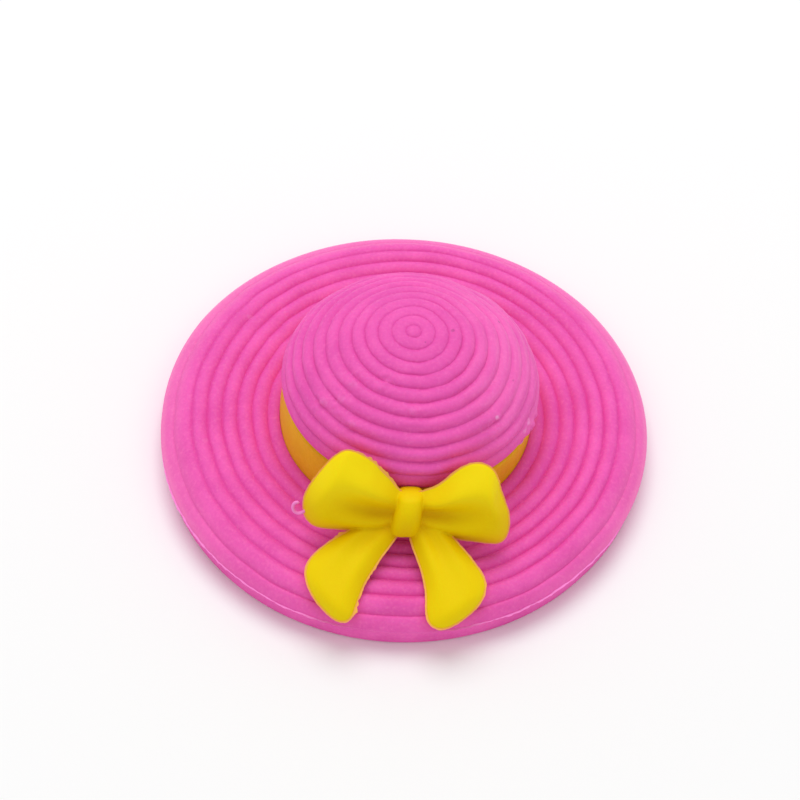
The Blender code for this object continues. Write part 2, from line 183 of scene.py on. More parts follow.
# The bow's lobes. Each outline is its parting line, once round, in mm: x and height in the plane of the
# loops, or x and reach in the plane of the tails. The spine is the start, bend and end of the fold down
# the lobe's middle. The heights run along the spine: the fold, the ridge to the left of the way outwards,
# the ridge to its right, and the back.
LEFT_LOOP = {
    "outline": (
        (-0.2, -1.4), (-1.3, -1.78), (-2.7, -1.95), (-4.2, -1.99), (-5.8, -1.9), (-7.3, -1.82),
        (-8.4, -1.62), (-9.15, -0.95), (-9.5, 0.1), (-9.5, 1.3), (-9.05, 2.6), (-8.35, 3.85),
        (-7.45, 5.15), (-6.6, 6.1), (-5.7, 6.62), (-4.7, 6.42), (-3.75, 5.9), (-2.95, 5.3),
        (-2.3, 4.5), (-1.55, 3.75), (-0.85, 2.8), (-0.2, 1.8),
    ),
    "spine": ((-0.5, 0.3), (-3.5, 0.35), (-7.0, 2.1)),
    "heights": (
        (0.35, 0.1, 0.1, 1.0), (0.15, 0.95, 1.3, 1.1), (0.75, 0.8, 1.45, 1.2), (1.8, 0.15, 0.35, 1.1),
    ),
}
RIGHT_LOOP = {
    "outline": (
        (0.6, -1.4), (2.2, -1.95), (3.7, -2.3), (5.2, -2.58), (6.6, -2.76), (8.0, -2.88), (9.05, -2.8),
        (9.65, -2.1), (9.85, -0.9), (9.72, 0.5), (9.3, 1.75), (8.9, 2.85), (8.6, 4.0), (8.05, 5.05),
        (7.15, 5.63), (6.1, 5.64), (5.1, 5.12), (4.3, 4.42), (3.5, 3.6), (2.65, 2.95), (1.6, 2.5),
        (0.6, 1.8),
    ),
    "spine": ((0.8, 0.45), (3.8, 0.15), (7.6, 1.1)),
    "heights": (
        (0.35, 0.1, 0.1, 1.0), (0.15, 1.3, 0.8, 1.1), (0.6, 1.5, 0.75, 1.2), (1.7, 0.5, 0.2, 1.1),
    ),
}
LEFT_TAIL = {
    "outline": (
        (-0.1, -0.2), (-2.2, -0.6), (-4.0, 0.3), (-5.25, 1.25), (-6.55, 2.06), (-7.8, 3.05), (-8.8, 4.2),
        (-9.13, 5.3), (-8.95, 6.4), (-8.5, 7.4), (-7.87, 8.32), (-7.1, 9.12), (-6.3, 9.78),
        (-5.4, 10.02), (-4.72, 9.5), (-4.35, 8.4), (-4.0, 7.35), (-3.62, 6.3), (-3.12, 5.35),
        (-2.57, 4.42), (-2.0, 3.47), (-1.38, 2.6), (-0.8, 1.72), (-0.2, 0.8),
    ),
    "spine": ((-1.5, 0.2), (-4.9, 2.6), (-6.5, 7.6)),
    "heights": (
        (0.5, 0.1, 0.1, 0.9), (0.7, 0.3, 0.35, 0.6), (1.0, 0.25, 0.2, 0.45), (1.1, 0.05, 0.05, 0.4),
    ),
}
RIGHT_TAIL = {
    "outline": (
        (0.3, -0.1), (0.45, 0.9), (0.65, 1.74), (0.95, 2.7), (1.35, 3.7), (1.72, 4.7), (2.02, 5.76),
        (2.22, 6.8), (2.29, 7.95), (2.36, 9.1), (2.75, 10.05), (3.65, 10.42), (4.64, 10.12),
        (5.55, 9.55), (6.4, 8.82), (7.12, 8.0), (7.63, 7.05), (7.76, 5.95), (7.38, 4.94), (6.75, 4.06),
        (6.05, 3.15), (5.3, 2.32), (4.5, 1.4), (3.4, 0.3), (2.0, -0.6),
    ),
    "spine": ((1.6, 0.2), (3.6, 2.8), (5.1, 8.0)),
    "heights": (
        (0.8, 0.1, 0.1, 0.9), (0.65, 0.45, 0.35, 0.6), (0.9, 0.3, 0.35, 0.45), (1.05, 0.05, 0.05, 0.4),
    ),
}
# The knot up its front, in mm: height, middle, half width, share of its full thickness
KNOT = (
    (-2.2, -0.05, 1.2, 0.65),
    (-1.4, 0.02, 1.45, 0.88),
    (0.1, 0.26, 1.42, 1.15),
    (1.5, 0.45, 1.25, 0.95),
    (2.5, 0.5, 1.15, 0.6),
)
KNOT_FRONT = 1.9 * MM
KNOT_BACK = 2.6 * MM
KNOT_CREASE = 0.1 * MM
KNOT_ENDS = (0.16, 0.86)
KNOT_END_ROWS = 12
KNOT_MIDDLE_ROWS = 38
PEG_RADIUS = 1.2 * MM
PEG_HEIGHT = 7.2 * MM
PEG_DEPTH = 2.6 * MM
PEG_ROOT = 1.9 * MM
PEG_CHAMFER = 0.2 * MM
# Lines of the bow's folds, along which shade is painted into its rubber: x, height and lift in the plane of
# the loops, in mm, and weight
FOLDS = (
    ((-1.3, 0.1, 0.4, 1.0), (-2.6, 0.2, 0.3, 1.0), (-4.2, 0.6, 0.5, 0.7), (-6.0, 1.3, 0.9, 0.3)),
    ((1.6, 0.3, 0.4, 1.0), (3.0, 0.2, 0.3, 1.0), (4.6, 0.3, 0.5, 0.6), (6.4, 0.7, 0.9, 0.3)),
    ((-1.4, 1.4, 0.4, 0.55), (-1.5, -0.6, 0.2, 0.9), (-1.4, -2.1, 0.2, 1.0), (-2.9, -2.0, 0.0, 0.7)),
    ((1.9, 1.4, 0.4, 0.5), (1.7, -0.6, 0.2, 0.8), (1.5, -2.1, 0.2, 1.0), (3.2, -2.4, 0.0, 0.7)),
    ((0.2, -1.0, 1.8, 0.4), (0.0, -1.7, 1.4, 0.7), (0.1, -2.6, 0.6, 0.9)),
)
FOLD_REACH = 1.0 * MM

# Flash, the thin rubber squeezed out at the parting lines. Its tears are (angle, half width, size in mm)
# on the brim and crown, and (x, height or reach, size, reach of the tear), in mm, on the bow's lobes.
SEAM_ANGLES = np.linspace(0.0, 2.0 * np.pi, 1440, endpoint=False)
FIN_ROOT = 0.12 * MM
FIN_HALF_THICKNESS = 0.03 * MM
FIN_LEAST = 0.01 * MM
BRIM_TEARS = (
    (208, 14, 0.17), (247, 10, 0.22), (302, 14, 0.24), (322, 8, 0.15), (284, 5, 0.17), (228, 10, 0.14),
)
CROWN_TEARS = ((338, 5, 0.35), (330, 3, 0.2))
LOOP_TEARS = ((-3.3, 5.6, 0.34, 0.5), (-2.3, 4.4, 0.3, 0.5), (-1.6, 3.6, 0.2, 0.4), (-4.4, 6.4, 0.15, 0.4))
LEFT_TAIL_TEARS = ((-4.2, 8.6, 0.2, 0.8), (-5.9, 1.6, 0.14, 0.6), (-3.0, 5.2, 0.1, 0.8))
# A curled shred of it beside the left loop: x and height in the plane of the loops, in mm
CURL = ((-9.3, 0.1), (-9.8, -0.4), (-10.45, -0.3), (-10.65, 0.35), (-10.4, 0.9), (-9.95, 0.8))
CURL_STEPS = 60
CURL_COLUMNS = 12
CURL_RADIUS = 0.15 * MM
CURL_TIP = 0.005 * MM

# Rubber: its shine, the scales of its noises, per metre, and the depth of its skin
RUBBER_ROUGHNESS = 0.55
RUBBER_GLOSS = 0.15
FLASH_ROUGHNESS = 0.6
SUBSURFACE = {
    "Subsurface Weight": 0.1,
    "Subsurface Radius": (1.0, 0.5, 0.5),
    "Subsurface Scale": 0.2 * MM,
}
PATCH_SCALE = 300.0
MOTTLE_SCALE = 3500.0
FLECK_SCALE = 3200.0
MARK_SCALE = 3000.0
SKIN_SCALE = 4000.0
SKIN_DEPTH = 0.04 * MM

# Stage
FLOOR_HALF = 3.0
LAMP_SIZE = 0.8
LAMP_PLACE = (-0.06, 0.36, 0.9)
SENSOR_MM = 36.0
IMAGE_PIXELS = 800.0
CAMERA_DISTANCE = 295.4 * MM
CAMERA_ELEVATION = math.radians(53.58)
CAMERA_ROLL = math.radians(3.35)
CAMERA_TURN = math.radians(-1.8)
AIM_HEIGHT = 4.4 * MM
AIM_PIXEL = (405.39, 415.12)


def length(name, description, default):
    """A length that is no less than nothing."""
    return FloatProperty(
        name=name, description=description, default=default, min=0.0, precision=5, unit="LENGTH"
    )


def colour(name, description, default):
    """A colour."""
    return FloatVectorProperty(
        name=name, description=description, default=default, min=0.0, max=1.0, size=3, subtype="COLOR"
    )


class BrimSettings(bpy.types.PropertyGroup):
    """Sizes and colours of the brim."""

    radius: length("Radius", "Outer radius of the brim", BRIM_HIGH.x)
    thickness: length("Thickness", "Height of the brim's top above the ground", 4.4 * MM)
    parting_height: length("Parting Height", "Height of the parting line on the brim's edge", 2.65 * MM)
    first_groove: length("First Groove", "Radius of the groove nearest to the band", 13.52 * MM)
    rib_pitch: length("Rib Pitch", "Distance from one groove to the next", 1.48 * MM)
    rib_height: length("Rib Height", "Height of a rib above its grooves", 0.32 * MM)
    tint: colour("Colour", "Colour of the pink rubber", (0.95, 0.126, 0.51))
    # Deep colour: also the painted shade in the grooves and near the band. Pale colour: also the painted
    # sheen.
    deep_tint: colour("Deep Colour", "Colour of its deeper patches and grooves", (0.81, 0.086, 0.42))
    pale_tint: colour("Pale Colour", "Colour of its flecks", (1.0, 0.24, 0.55))
    mark_tint: colour("Mark Colour", "Colour of its scuffs and crumbs", (1.0, 0.34, 0.68))
    flash_tint: colour("Flash Colour", "Colour of the pink flash on brim, crown and bow", (1.0, 0.27, 0.7))


class BandSettings(bpy.types.PropertyGroup):
    """Sizes and colours of the ribbon band."""

    radius: length("Radius", "Outer radius of the band", BAND_HIGH.x)
    tint: colour("Colour", "Colour of the amber rubber", (0.90, 0.51, 0.008))
    deep_tint: colour("Deep Colour", "Colour of its deeper patches", (0.80, 0.42, 0.004))
    pale_tint: colour("Pale Colour", "Colour of its flecks", (0.95, 0.56, 0.08))


class CrownSettings(bpy.types.PropertyGroup):
    """Sizes and colours of the crown."""

    radius: length("Radius", "Radius of the crown at its rim", CROWN_HIGH.x)
    rib_pitch: length("Rib Pitch", "Distance from one groove to the next along the dome", 1.38 * MM)
    rib_height: length("Rib Height", "Height of a rib above its grooves", 0.28 * MM)
    plug_radius: length("Plug Radius", "Radius of the plug under the crown", 8.2 * MM)
    tint: colour("Colour", "Colour of the rose rubber", (0.92, 0.12, 0.49))
    # Deep colour: also the painted shade in the grooves. Pale colour: also the painted sheen on the right
    # side.
    deep_tint: colour("Deep Colour", "Colour of its deeper patches and grooves", (0.80, 0.09, 0.43))
    pale_tint: colour("Pale Colour", "Colour of its flecks", (1.0, 0.22, 0.58))
    mark_tint: colour("Mark Colour", "Colour of its scuffs and crumbs", (1.0, 0.36, 0.72))


class BowSettings(bpy.types.PropertyGroup):
    """Sizes and colours of the bow."""

    grain: length("Grain", "Cell size of the skin that joins the bow's lobes", 0.09 * MM)
    seam_width: length("Seam Width", "Usual width of the flash round the bow", 0.17 * MM)
    tint: colour("Colour", "Colour of the lemon rubber", (0.86, 0.61, 0.0))
    # Deep colour: also the painted shade in the folds. Pale colour: mostly the painted highlight.
    deep_tint: colour("Deep Colour", "Colour of its deeper patches and folds", (0.74, 0.44, 0.0))
    pale_tint: colour("Pale Colour", "Colour of its paler parts", (0.95, 0.74, 0.006))
    flash_tint: colour("Flash Colour", "Colour of the flash round it", (1.0, 0.48, 0.10))


class StageSettings(bpy.types.PropertyGroup):
    """Light, floor and camera."""

    floor: colour("Floor", "Colour of the floor", (0.96, 0.96, 0.96))
    sky: FloatProperty(name="Sky", description="Strength of the even light", default=0.66, min=0.0)
    key: FloatProperty(name="Key", description="Power of the soft lamp", default=4.4, min=0.0, unit="POWER")
    lens: FloatProperty(name="Lens", description="Focal length in mm", default=135.0, min=1.0, unit="CAMERA")


def lumps(points, size, seed):
    """Smooth lumps from about -1 to 1: seeded values at the corners of cubes of the given size,
    blended inside each cube by 3t^2 - 2t^3 along each axis."""
    lattice = np.random.default_rng(seed).uniform(-1.0, 1.0, (LATTICE,) * 3)
    place = np.asarray(points) / size
    cell = np.floor(place).astype(int)
    part = place - cell
    blend = part * part * (3.0 - 2.0 * part)
    total = np.zeros(place.shape[:-1])
    for corner in np.ndindex(2, 2, 2):
        index = (cell + corner) % LATTICE
        weight = np.prod(np.where(np.array(corner, bool), blend, 1.0 - blend), axis=-1)
        total += weight * lattice[index[..., 0], index[..., 1], index[..., 2]]
    return total


def uneven(points, layers):
    """Lumps of several sizes in one, each layer as high as it says."""
    return sum(height * MM * lumps(points, size * MM, seed) for height, size, seed in layers)


def wobble(angles, seed, fewest, most):
    """A closed wave round the hat, about 1 high: sines of whole wave counts with seeded sizes and phases."""
    draw = np.random.default_rng(seed)
    total = np.zeros(np.shape(angles))
    power = 0.0
    for count in range(fewest, most + 1):
        size = draw.uniform(0.4, 1.0)
        total += size * np.sin(count * angles + draw.uniform(0.0, 2.0 * np.pi))
        power += size * size / 2.0
    return total / (1.5 * math.sqrt(power))


def drifted(angles, layers):
    """Waves of several counts in one, each layer as high as it says."""
    return sum(height * MM * wobble(angles, seed, fewest, most) for height, seed, fewest, most in layers)


def ribs(place, softness, roundness):
    """Ribs from 0 to 1 with a groove at every whole place: |sin(pi place)|, softened, to a power."""
    wave = np.sqrt(np.sin(np.pi * place) ** 2 + softness**2) - softness
    return (wave / (np.sqrt(1.0 + softness**2) - softness)) ** roundness


def rib_places(first, last):
    """Places from first to last, crowded towards each whole one: t - 0.85 sin(2 pi t) / (2 pi)."""
    t = np.arange(math.floor(first * RIB_STEPS), math.ceil(last * RIB_STEPS) + 1) / RIB_STEPS
    return np.unique(np.clip(t - 0.85 * np.sin(2.0 * np.pi * t) / (2.0 * np.pi), first, last))


def straight(value, start, end):
    """0 before start, 1 after end, and straight between them."""
    return np.clip((value - start) / (end - start), 0.0, 1.0)


def eased(value, start, end):
    """0 before start, 1 after end, and 3t^2 - 2t^3 between them."""
    part = straight(value, start, end)
    return part * part * (3.0 - 2.0 * part)


def bell(square, reach):
    """exp(-(distance / reach)^2), from the distance's square."""
    return np.exp(-square / reach**2)


def round_angles(columns):
    """Evenly spaced angles once round, as one row."""
    return np.linspace(0.0, 2.0 * np.pi, columns, endpoint=False)[None, :]


def station_curve(table, shares):
    """Smooth values between a table's rows: a uniform cubic B-spline, (1-t)^3, 3t^3-6t^2+4,
    -3t^3+3t^2+3t+1 and t^3 of four rows over 6, that starts and ends on the outer rows."""
    rows = np.asarray(table, float)
    rows = np.vstack([2.0 * rows[0] - rows[1], rows, 2.0 * rows[-1] - rows[-2]])
    place = np.clip(shares, 0.0, 1.0) * (len(table) - 1)
    cell = np.minimum(place.astype(int), len(table) - 2)
    t = (place - cell)[:, None]
    weights = ((1.0 - t) ** 3, 3.0 * t**3 - 6.0 * t**2 + 4.0, -3.0 * t**3 + 3.0 * t**2 + 3.0 * t + 1.0, t**3)
    return sum(weight * rows[cell + i] for i, weight in enumerate(weights)) / 6.0


def closed_curve(points, count):
    """Evenly spaced points on a closed curve through the given ones. Between b and c, with a before and
    d after, it is (2b + (c-a)t + (2a-5b+4c-d)t^2 + (3b-a-3c+d)t^3) / 2."""
    given = np.asarray(points, float)
    t = np.linspace(0.0, 1.0, CURVE_STEPS, endpoint=False)[None, :, None]
    a, b, c, d = (np.roll(given, shift, axis=0)[:, None] for shift in (1, 0, -1, -2))
    curve = (2 * b + (c - a) * t + (2 * a - 5 * b + 4 * c - d) * t**2 + (3 * b - a - 3 * c + d) * t**3) / 2.0
    curve = curve.reshape(-1, 2)
    closed = np.vstack([curve, curve[:1]])
    run = np.concatenate([[0.0], np.cumsum(np.hypot(*np.diff(closed, axis=0).T))])
    places = np.linspace(0.0, run[-1], count, endpoint=False)
    return np.stack([np.interp(places, run, closed[:, k]) for k in (0, 1)], -1)


def revolved(radius, height, angles):
    """Points at a radius and a height, round Z: (r cos a, r sin a, z)."""
    radius, height, angle = np.broadcast_arrays(radius, height, angles)
    return np.stack([radius * np.cos(angle), radius * np.sin(angle), height], -1)


def corner_arc(centre, radius, start_degrees, end_degrees, steps):
    """Points on a circle in the profile's plane, angles counted from +radius towards +height."""
    angle = np.radians(np.linspace(start_degrees, end_degrees, steps + 1))
    return np.stack([centre[0] + radius * np.cos(angle), centre[1] + radius * np.sin(angle)], -1)


def grid_quads(rows, columns, closed_rows):
    """Quads of a grid whose columns close on themselves, each going down, along, up and back."""
    row = np.arange(rows if closed_rows else rows - 1)[:, None]
    column = np.arange(columns)[None, :]
    below = (row + 1) % rows
    beside = (column + 1) % columns
    corners = (
        row * columns + column,
        below * columns + column,
        below * columns + beside,
        row * columns + beside,
    )
    return np.stack(corners, -1).reshape(-1, 4)


def settings_on(thing, **settings):
    """The thing with these settings on it."""
    for key, value in settings.items():
        setattr(thing, key, value)
    return thing


def linked(name, data):
    """A new object in the scene with this data."""
    obj = bpy.data.objects.new(name, data)
    bpy.context.scene.collection.objects.link(obj)
    return obj


def mesh_object(name, points, faces):
    """A smooth-shaded mesh object in the scene."""
    mesh = bpy.data.meshes.new(name)
    mesh.from_pydata(points.tolist(), [], faces)
    mesh.shade_smooth()
    return linked(name, mesh)


def surface_object(name, grid, closed_rows=False, first_pole=None, last_pole=None):
    """A mesh object from a (rows, columns, 3) grid that closes along its columns, with a fan of
    triangles to a point at either end where one is given."""
    rows, columns = grid.shape[:2]
    points = grid.reshape(-1, 3)
    faces = grid_quads(rows, columns, closed_rows).tolist()
    column = np.arange(columns)
    beside = (column + 1) % columns
    if first_pole is not None:
        faces += np.stack([np.full(columns, len(points)), column, beside], -1).tolist()
        points = np.vstack([points, first_pole])
    if last_pole is not None:
        start = (rows - 1) * columns
        faces += np.stack([np.full(columns, len(points)), start + beside, start + column], -1).tolist()
        points = np.vstack([points, last_pole])
    return mesh_object(name, points, faces)


def merged(obj):
    """The object with doubled vertices merged and its faces turned outwards."""
    shape = bmesh.new()
    shape.from_mesh(obj.data)
    bmesh.ops.remove_doubles(shape, verts=shape.verts, dist=MERGE_REACH)
    bmesh.ops.recalc_face_normals(shape, faces=shape.faces)
    shape.to_mesh(obj.data)
    shape.free()
    return obj


def capped(name, grid):
    """A closed object from a grid whose first and last rows end in their middles."""
    return merged(surface_object(name, grid, first_pole=grid[0].mean(0), last_pole=grid[-1].mean(0)))


def settled(obj):
    """The object with its modifiers applied."""
    bpy.context.view_layer.update()
    evaluated = obj.evaluated_get(bpy.context.evaluated_depsgraph_get())
    mesh = bpy.data.meshes.new_from_object(evaluated)
    mesh.name = obj.name
    obj.modifiers.clear()
    obj.data = mesh
    mesh.shade_smooth()
    return obj


def joined(name, parts):
    """One object from several meshes, whose own objects are removed."""
    shape = bmesh.new()
    for part in parts:
        shape.from_mesh(part.data)
        bpy.data.objects.remove(part, do_unlink=True)
    mesh = bpy.data.meshes.new(name)
    shape.to_mesh(mesh)
    shape.free()
    return linked(name, mesh)


def vertex_places(obj):
    """The mesh's vertices as an array."""
    places = np.empty(len(obj.data.vertices) * 3)
    obj.data.vertices.foreach_get("co", places)
    return places.reshape(-1, 3)


def paint(obj, name, values):
    """A named number on each vertex, which the materials read."""
    attribute = obj.data.attributes.new(name, "FLOAT", "POINT")
    attribute.data.foreach_set("value", np.asarray(values, np.float32).ravel())


def off_round(angles, radius):
    """How far the brim's rubber is off its circle: the edge's own places, eased in towards the edge."""
    places, sizes = np.array(BRIM_EDGE_PLACES).T
    off = np.interp(np.degrees(angles) % 360.0, places, sizes, period=360.0) * MM
    return off * eased(radius, *BRIM_OFF_ROUND)


def brim_rings(brim):
    """The rings of the brim's top, from its seat to its edge: radius, and place counted in ribs."""
    last_groove = brim.first_groove + BRIM_RIBS * brim.rib_pitch + BRIM_WIDER_RIB
    place = rib_places((SEAT_RADIUS + 0.01 * MM - brim.first_groove) / brim.rib_pitch, BRIM_RIBS)
    wider = BRIM_WIDER_RIB * np.clip(place - BRIM_RIBS + 1, 0.0, 1.0)
    base = brim.first_groove + brim.rib_pitch * place + wider
    over = np.linspace(0.0, 1.0, BRIM_EDGE_STEPS + 1)[1:]
    base = np.concatenate([base, last_groove + (brim.radius - last_groove) * over])
    return base[:, None], np.concatenate([place, BRIM_RIBS + over])[:, None]


def brim_top(brim, angles):
    """The brim's top. Its height is the plate's, level and then falling by 1.5th power to the parting
    line, plus ribs every pitch, a low lip outside them and seeded lumps. Also gives each point's painted
    shade, in the grooves and near the band, and its painted sheen towards the edge."""
    front = eased(-np.sin(angles), 0.3, 0.95)
    back = eased(np.sin(angles), -0.2, 0.8)
    left = eased(-np.cos(angles), 0.3, 0.95)
    right = eased(np.cos(angles), 0.1, 0.9)
    front_right = eased(np.cos(angles + 1.1), 0.1, 0.85)

    base, place = brim_rings(brim)
    over = np.clip(place - BRIM_RIBS, 0.0, 1.0)
    drift = drifted(angles, BRIM_DRIFT) + BRIM_RIGHT_DRIFT * right
    steady = eased(base, SEAT_RADIUS, SEAT_RADIUS + 2.0 * MM) * eased(brim.radius - base, 0.0, 1.5 * MM)
    radius = base + (drift + uneven(revolved(base, 0.0, angles), BRIM_STRAY)) * steady
    radius = radius + BRIM_FRONT_DRIFT * front * steady * eased(base, 19.0 * MM, 21.0 * MM)

    rib = ribs(place, BRIM_RIB_SOFTNESS, BRIM_RIB_ROUNDNESS)
    evenness = 1.0 + 0.12 * wobble(angles, 5, 3, 14)
    fade = 1.0 - 0.35 * eased(place, BRIM_RIBS - 1.6, BRIM_RIBS - 0.2) * (1.0 - front)
    strength = evenness * fade * (1.05 + 0.35 * front_right)
    lip = BRIM_LIP_HEIGHT * (1.0 + front) * np.sin(np.pi * over) ** 0.6
    falling = np.clip(base - (brim.radius - BRIM_EDGE_WIDTH), 0.0, None) / BRIM_EDGE_WIDTH
    height = brim.thickness - (brim.thickness - brim.parting_height) * falling**1.5
    height = height + np.where(place < BRIM_RIBS, brim.rib_height * rib * strength, lip)
    top = revolved(radius + off_round(angles, base), height, angles)
    top[..., 2] += eased(brim.radius - base, 0.0, 1.0 * MM) * uneven(top, BRIM_LUMPS)

    # Painted shade: darker in the grooves, most on the front right, and near the band, which the crown
    # shades
    groove = np.where(place <= BRIM_RIBS, 1.0 - rib, np.exp(-((over / 0.12) ** 2)))
    near_band = 0.62 + 0.16 * front_right + 0.12 * left
    near_band = near_band * (1.0 - eased(base, 13.0 * MM, 19.0 * MM + 2.0 * MM * front_right))
    # Painted sheen: paler on the falling edge and at the rim, most at the back, where the light comes from
    slope = (0.28 + 0.2 * back) * (1.0 - 0.8 * front) * eased(base, 21.2 * MM, 23.0 * MM)
    painted_light = slope + 0.5 * (1.0 - front) * eased(base, 23.3 * MM, 24.0 * MM)
    return top, np.maximum(groove * (1.0 + 0.2 * front_right), near_band), painted_light


def brim_rest(brim, angles):
    """The brim's wall, underside, bore and seat: a profile carried round Z."""
    seat_height = brim.thickness - SEAT_DEPTH
    foot = (brim.radius - BRIM_FOOT_INSET, BRIM_FOOT_ROUND)
    wall_top = (brim.radius - 0.02 * MM, brim.parting_height - 0.12 * MM)
    profile = np.vstack(
        [
            np.linspace(wall_top, (foot[0] + BRIM_FOOT_ROUND, foot[1]), BRIM_WALL_ROWS),
            corner_arc(foot, BRIM_FOOT_ROUND, 0.0, -90.0, 6)[1:],
            np.linspace((foot[0], 0.0), (BORE_RADIUS + CHAMFER, 0.0), 16)[1:],
            [(BORE_RADIUS, CHAMFER), (BORE_RADIUS, 2.0 * MM), (BORE_RADIUS, seat_height - SMALL_EDGE)],
            [(BORE_RADIUS + SMALL_EDGE, seat_height), (SEAT_RADIUS - SMALL_EDGE, seat_height)],
            [(SEAT_RADIUS, seat_height + SMALL_EDGE), (SEAT_RADIUS, brim.thickness - SMALL_EDGE)],
            [(SEAT_RADIUS, brim.thickness + 2.0 * SMALL_EDGE)],
        ]
    )
    rest = revolved(profile[:, :1] + off_round(angles, profile[:, :1]), profile[:, 1:], angles)
    wall = rest[2:BRIM_WALL_ROWS]
    wall[..., :2] *= 1.0 + BRIM_WALL_ROUGHNESS * lumps(wall, 1.2 * MM, 13)[..., None]
    return rest


def brim_grid(brim):
    """The brim as radius and height over a profile and an angle. Also gives each point's painted shade and
    painted sheen, which are nothing off the top."""
    angles = round_angles(ROUND_COLUMNS)
    top, depth, painted_light = brim_top(brim, angles)
    rest = brim_rest(brim, angles)
    off_top = ((0, len(rest)), (0, 0))
    return np.concatenate([top, rest]), np.pad(depth, off_top), np.pad(painted_light, off_top)


def lean(points, weight):
    """Points following the crown's own lean, as far as their weight says: x and y shift, and z falls by
    the slope along x and y."""
    x, y, z = np.moveaxis(points, -1, 0)
    fall = CROWN_SLOPE[0] * x + CROWN_SLOPE[1] * y
    moved = (x + weight * CROWN_SHIFT[0], y + weight * CROWN_SHIFT[1], z - weight * fall)
    return np.stack(moved, -1)


def band_grid(band, plug_radius):
    """The band as a closed profile round Z. Its top slopes up inwards under the crown's rim and leans
    with it."""
    low, inner_top = BAND_LOW.z, BAND_HIGH.z
    wall_top = RIM_HEIGHT - FIT_GAP
    shoulder = band.radius - CHAMFER - SHOULDER_WIDTH
    edge = CHAMFER / 2.0
    profile = np.vstack(
        [
            [(shoulder, inner_top)],
            [(band.radius - CHAMFER, wall_top), (band.radius - 0.3 * edge, wall_top - edge)],
            np.linspace((band.radius, wall_top - CHAMFER), (band.radius, low + CHAMFER), BAND_WALL_ROWS),
            [(band.radius - 0.3 * edge, low + edge), (band.radius - CHAMFER, low)],
            [(BORE_RADIUS + CHAMFER, low), (BORE_RADIUS, low + CHAMFER)],
            [(BORE_RADIUS, inner_top - CHAMFER), (BORE_RADIUS + CHAMFER, inner_top)],
        ]
    )
    grid = revolved(profile[:, :1], profile[:, 1:], round_angles(BAND_COLUMNS))
    wall = grid[3 : 3 + BAND_WALL_ROWS]
    rough = BAND_WALL_ROUGHNESS * lumps(wall, 2.0 * MM, 21) * eased(wall[..., 2], 4.6 * MM, 6.0 * MM)
    wall[..., :2] *= 1.0 + rough[..., None]
    top = eased(grid[..., 2], low + 1.0 * MM, wall_top - CHAMFER)
    return lean(grid, top * straight(profile[:, :1], plug_radius, shoulder))


def dome_curve(crown):
    """The dome's curve from its top to its rim: run along it, radius, and height above the rim. It is a
    superellipse, (r/a)^1.65 + (z/b)^2 = 1."""
    turn = np.linspace(0.0, np.pi / 2.0, DOME_STEPS + 1)
    radius = crown.radius * np.sin(turn) ** (2.0 / CROWN_POWER)
    height = CROWN_RISE * np.cos(turn)
    run = np.concatenate([[0.0], np.cumsum(np.hypot(np.diff(radius), np.diff(height)))])
    return run, radius, height


def crown_rings(crown, whole):
    """Places of the dome's rings, counted in ribs from the groove round its button, and the last
    groove's place and the rim's."""
    button = CROWN_BUTTON / crown.rib_pitch
    last = math.floor((whole - CROWN_PLAIN_RIM - CROWN_BUTTON) / crown.rib_pitch)
    rim = whole / crown.rib_pitch - button
    ribbed = rib_places(0.08 - button, last)
    return np.concatenate([ribbed, np.linspace(last, rim, CROWN_RIM_ROWS)[1:]])[:, None], last, rim


def strayed(along, angles, curve):
    """Where each ring really runs along the dome's curve, and its points before: it drifts and strays,
    and lies a little nearer to the top halfway down."""
    run, radius, height = curve
    whole = run[-1]
    drift = drifted(angles, CROWN_DRIFT)
    along = along + drift * eased(along, 0.3 * MM, 4.0 * MM) * eased(whole - along, 0.0, 1.5 * MM)
    along = along - CROWN_TOPWARD_DRIFT * np.sin(np.pi * np.clip(along / whole, 0.0, 1.0)) ** 1.5
    smooth = revolved(np.interp(along, run, radius), np.interp(along, run, height), angles)
    stray = uneven(smooth, CROWN_STRAY)
    along = along + stray * eased(along, 1.5 * MM, 5.0 * MM) * eased(whole - along, 0.3 * MM, 2.0 * MM)
    return along, smooth


def round_streaks(points):
    """Fine streaks along the ribs: lumps of (3r, 2 mm times the angle, 3z)."""
    x, y, z = np.moveaxis(points, -1, 0)
    return lumps(np.stack([3.0 * np.hypot(x, y), 2.0 * MM * np.arctan2(y, x), 3.0 * z], -1), 0.6 * MM, 61)


def scuffed(lift, points, fade):
    """The dome's lift with its bumps added, each a bell, and finer lumps round them."""
    near = np.zeros(lift.shape)
    for place, size, reach in CROWN_BUMPS:
        square = ((points - np.array(place) * MM) ** 2).sum(-1)
        lift = lift + size * MM * bell(square, reach * MM)
        near = np.maximum(near, bell(square, 3.0 * reach * MM))
    return lift + near * fade * uneven(points, CROWN_SCUFF)


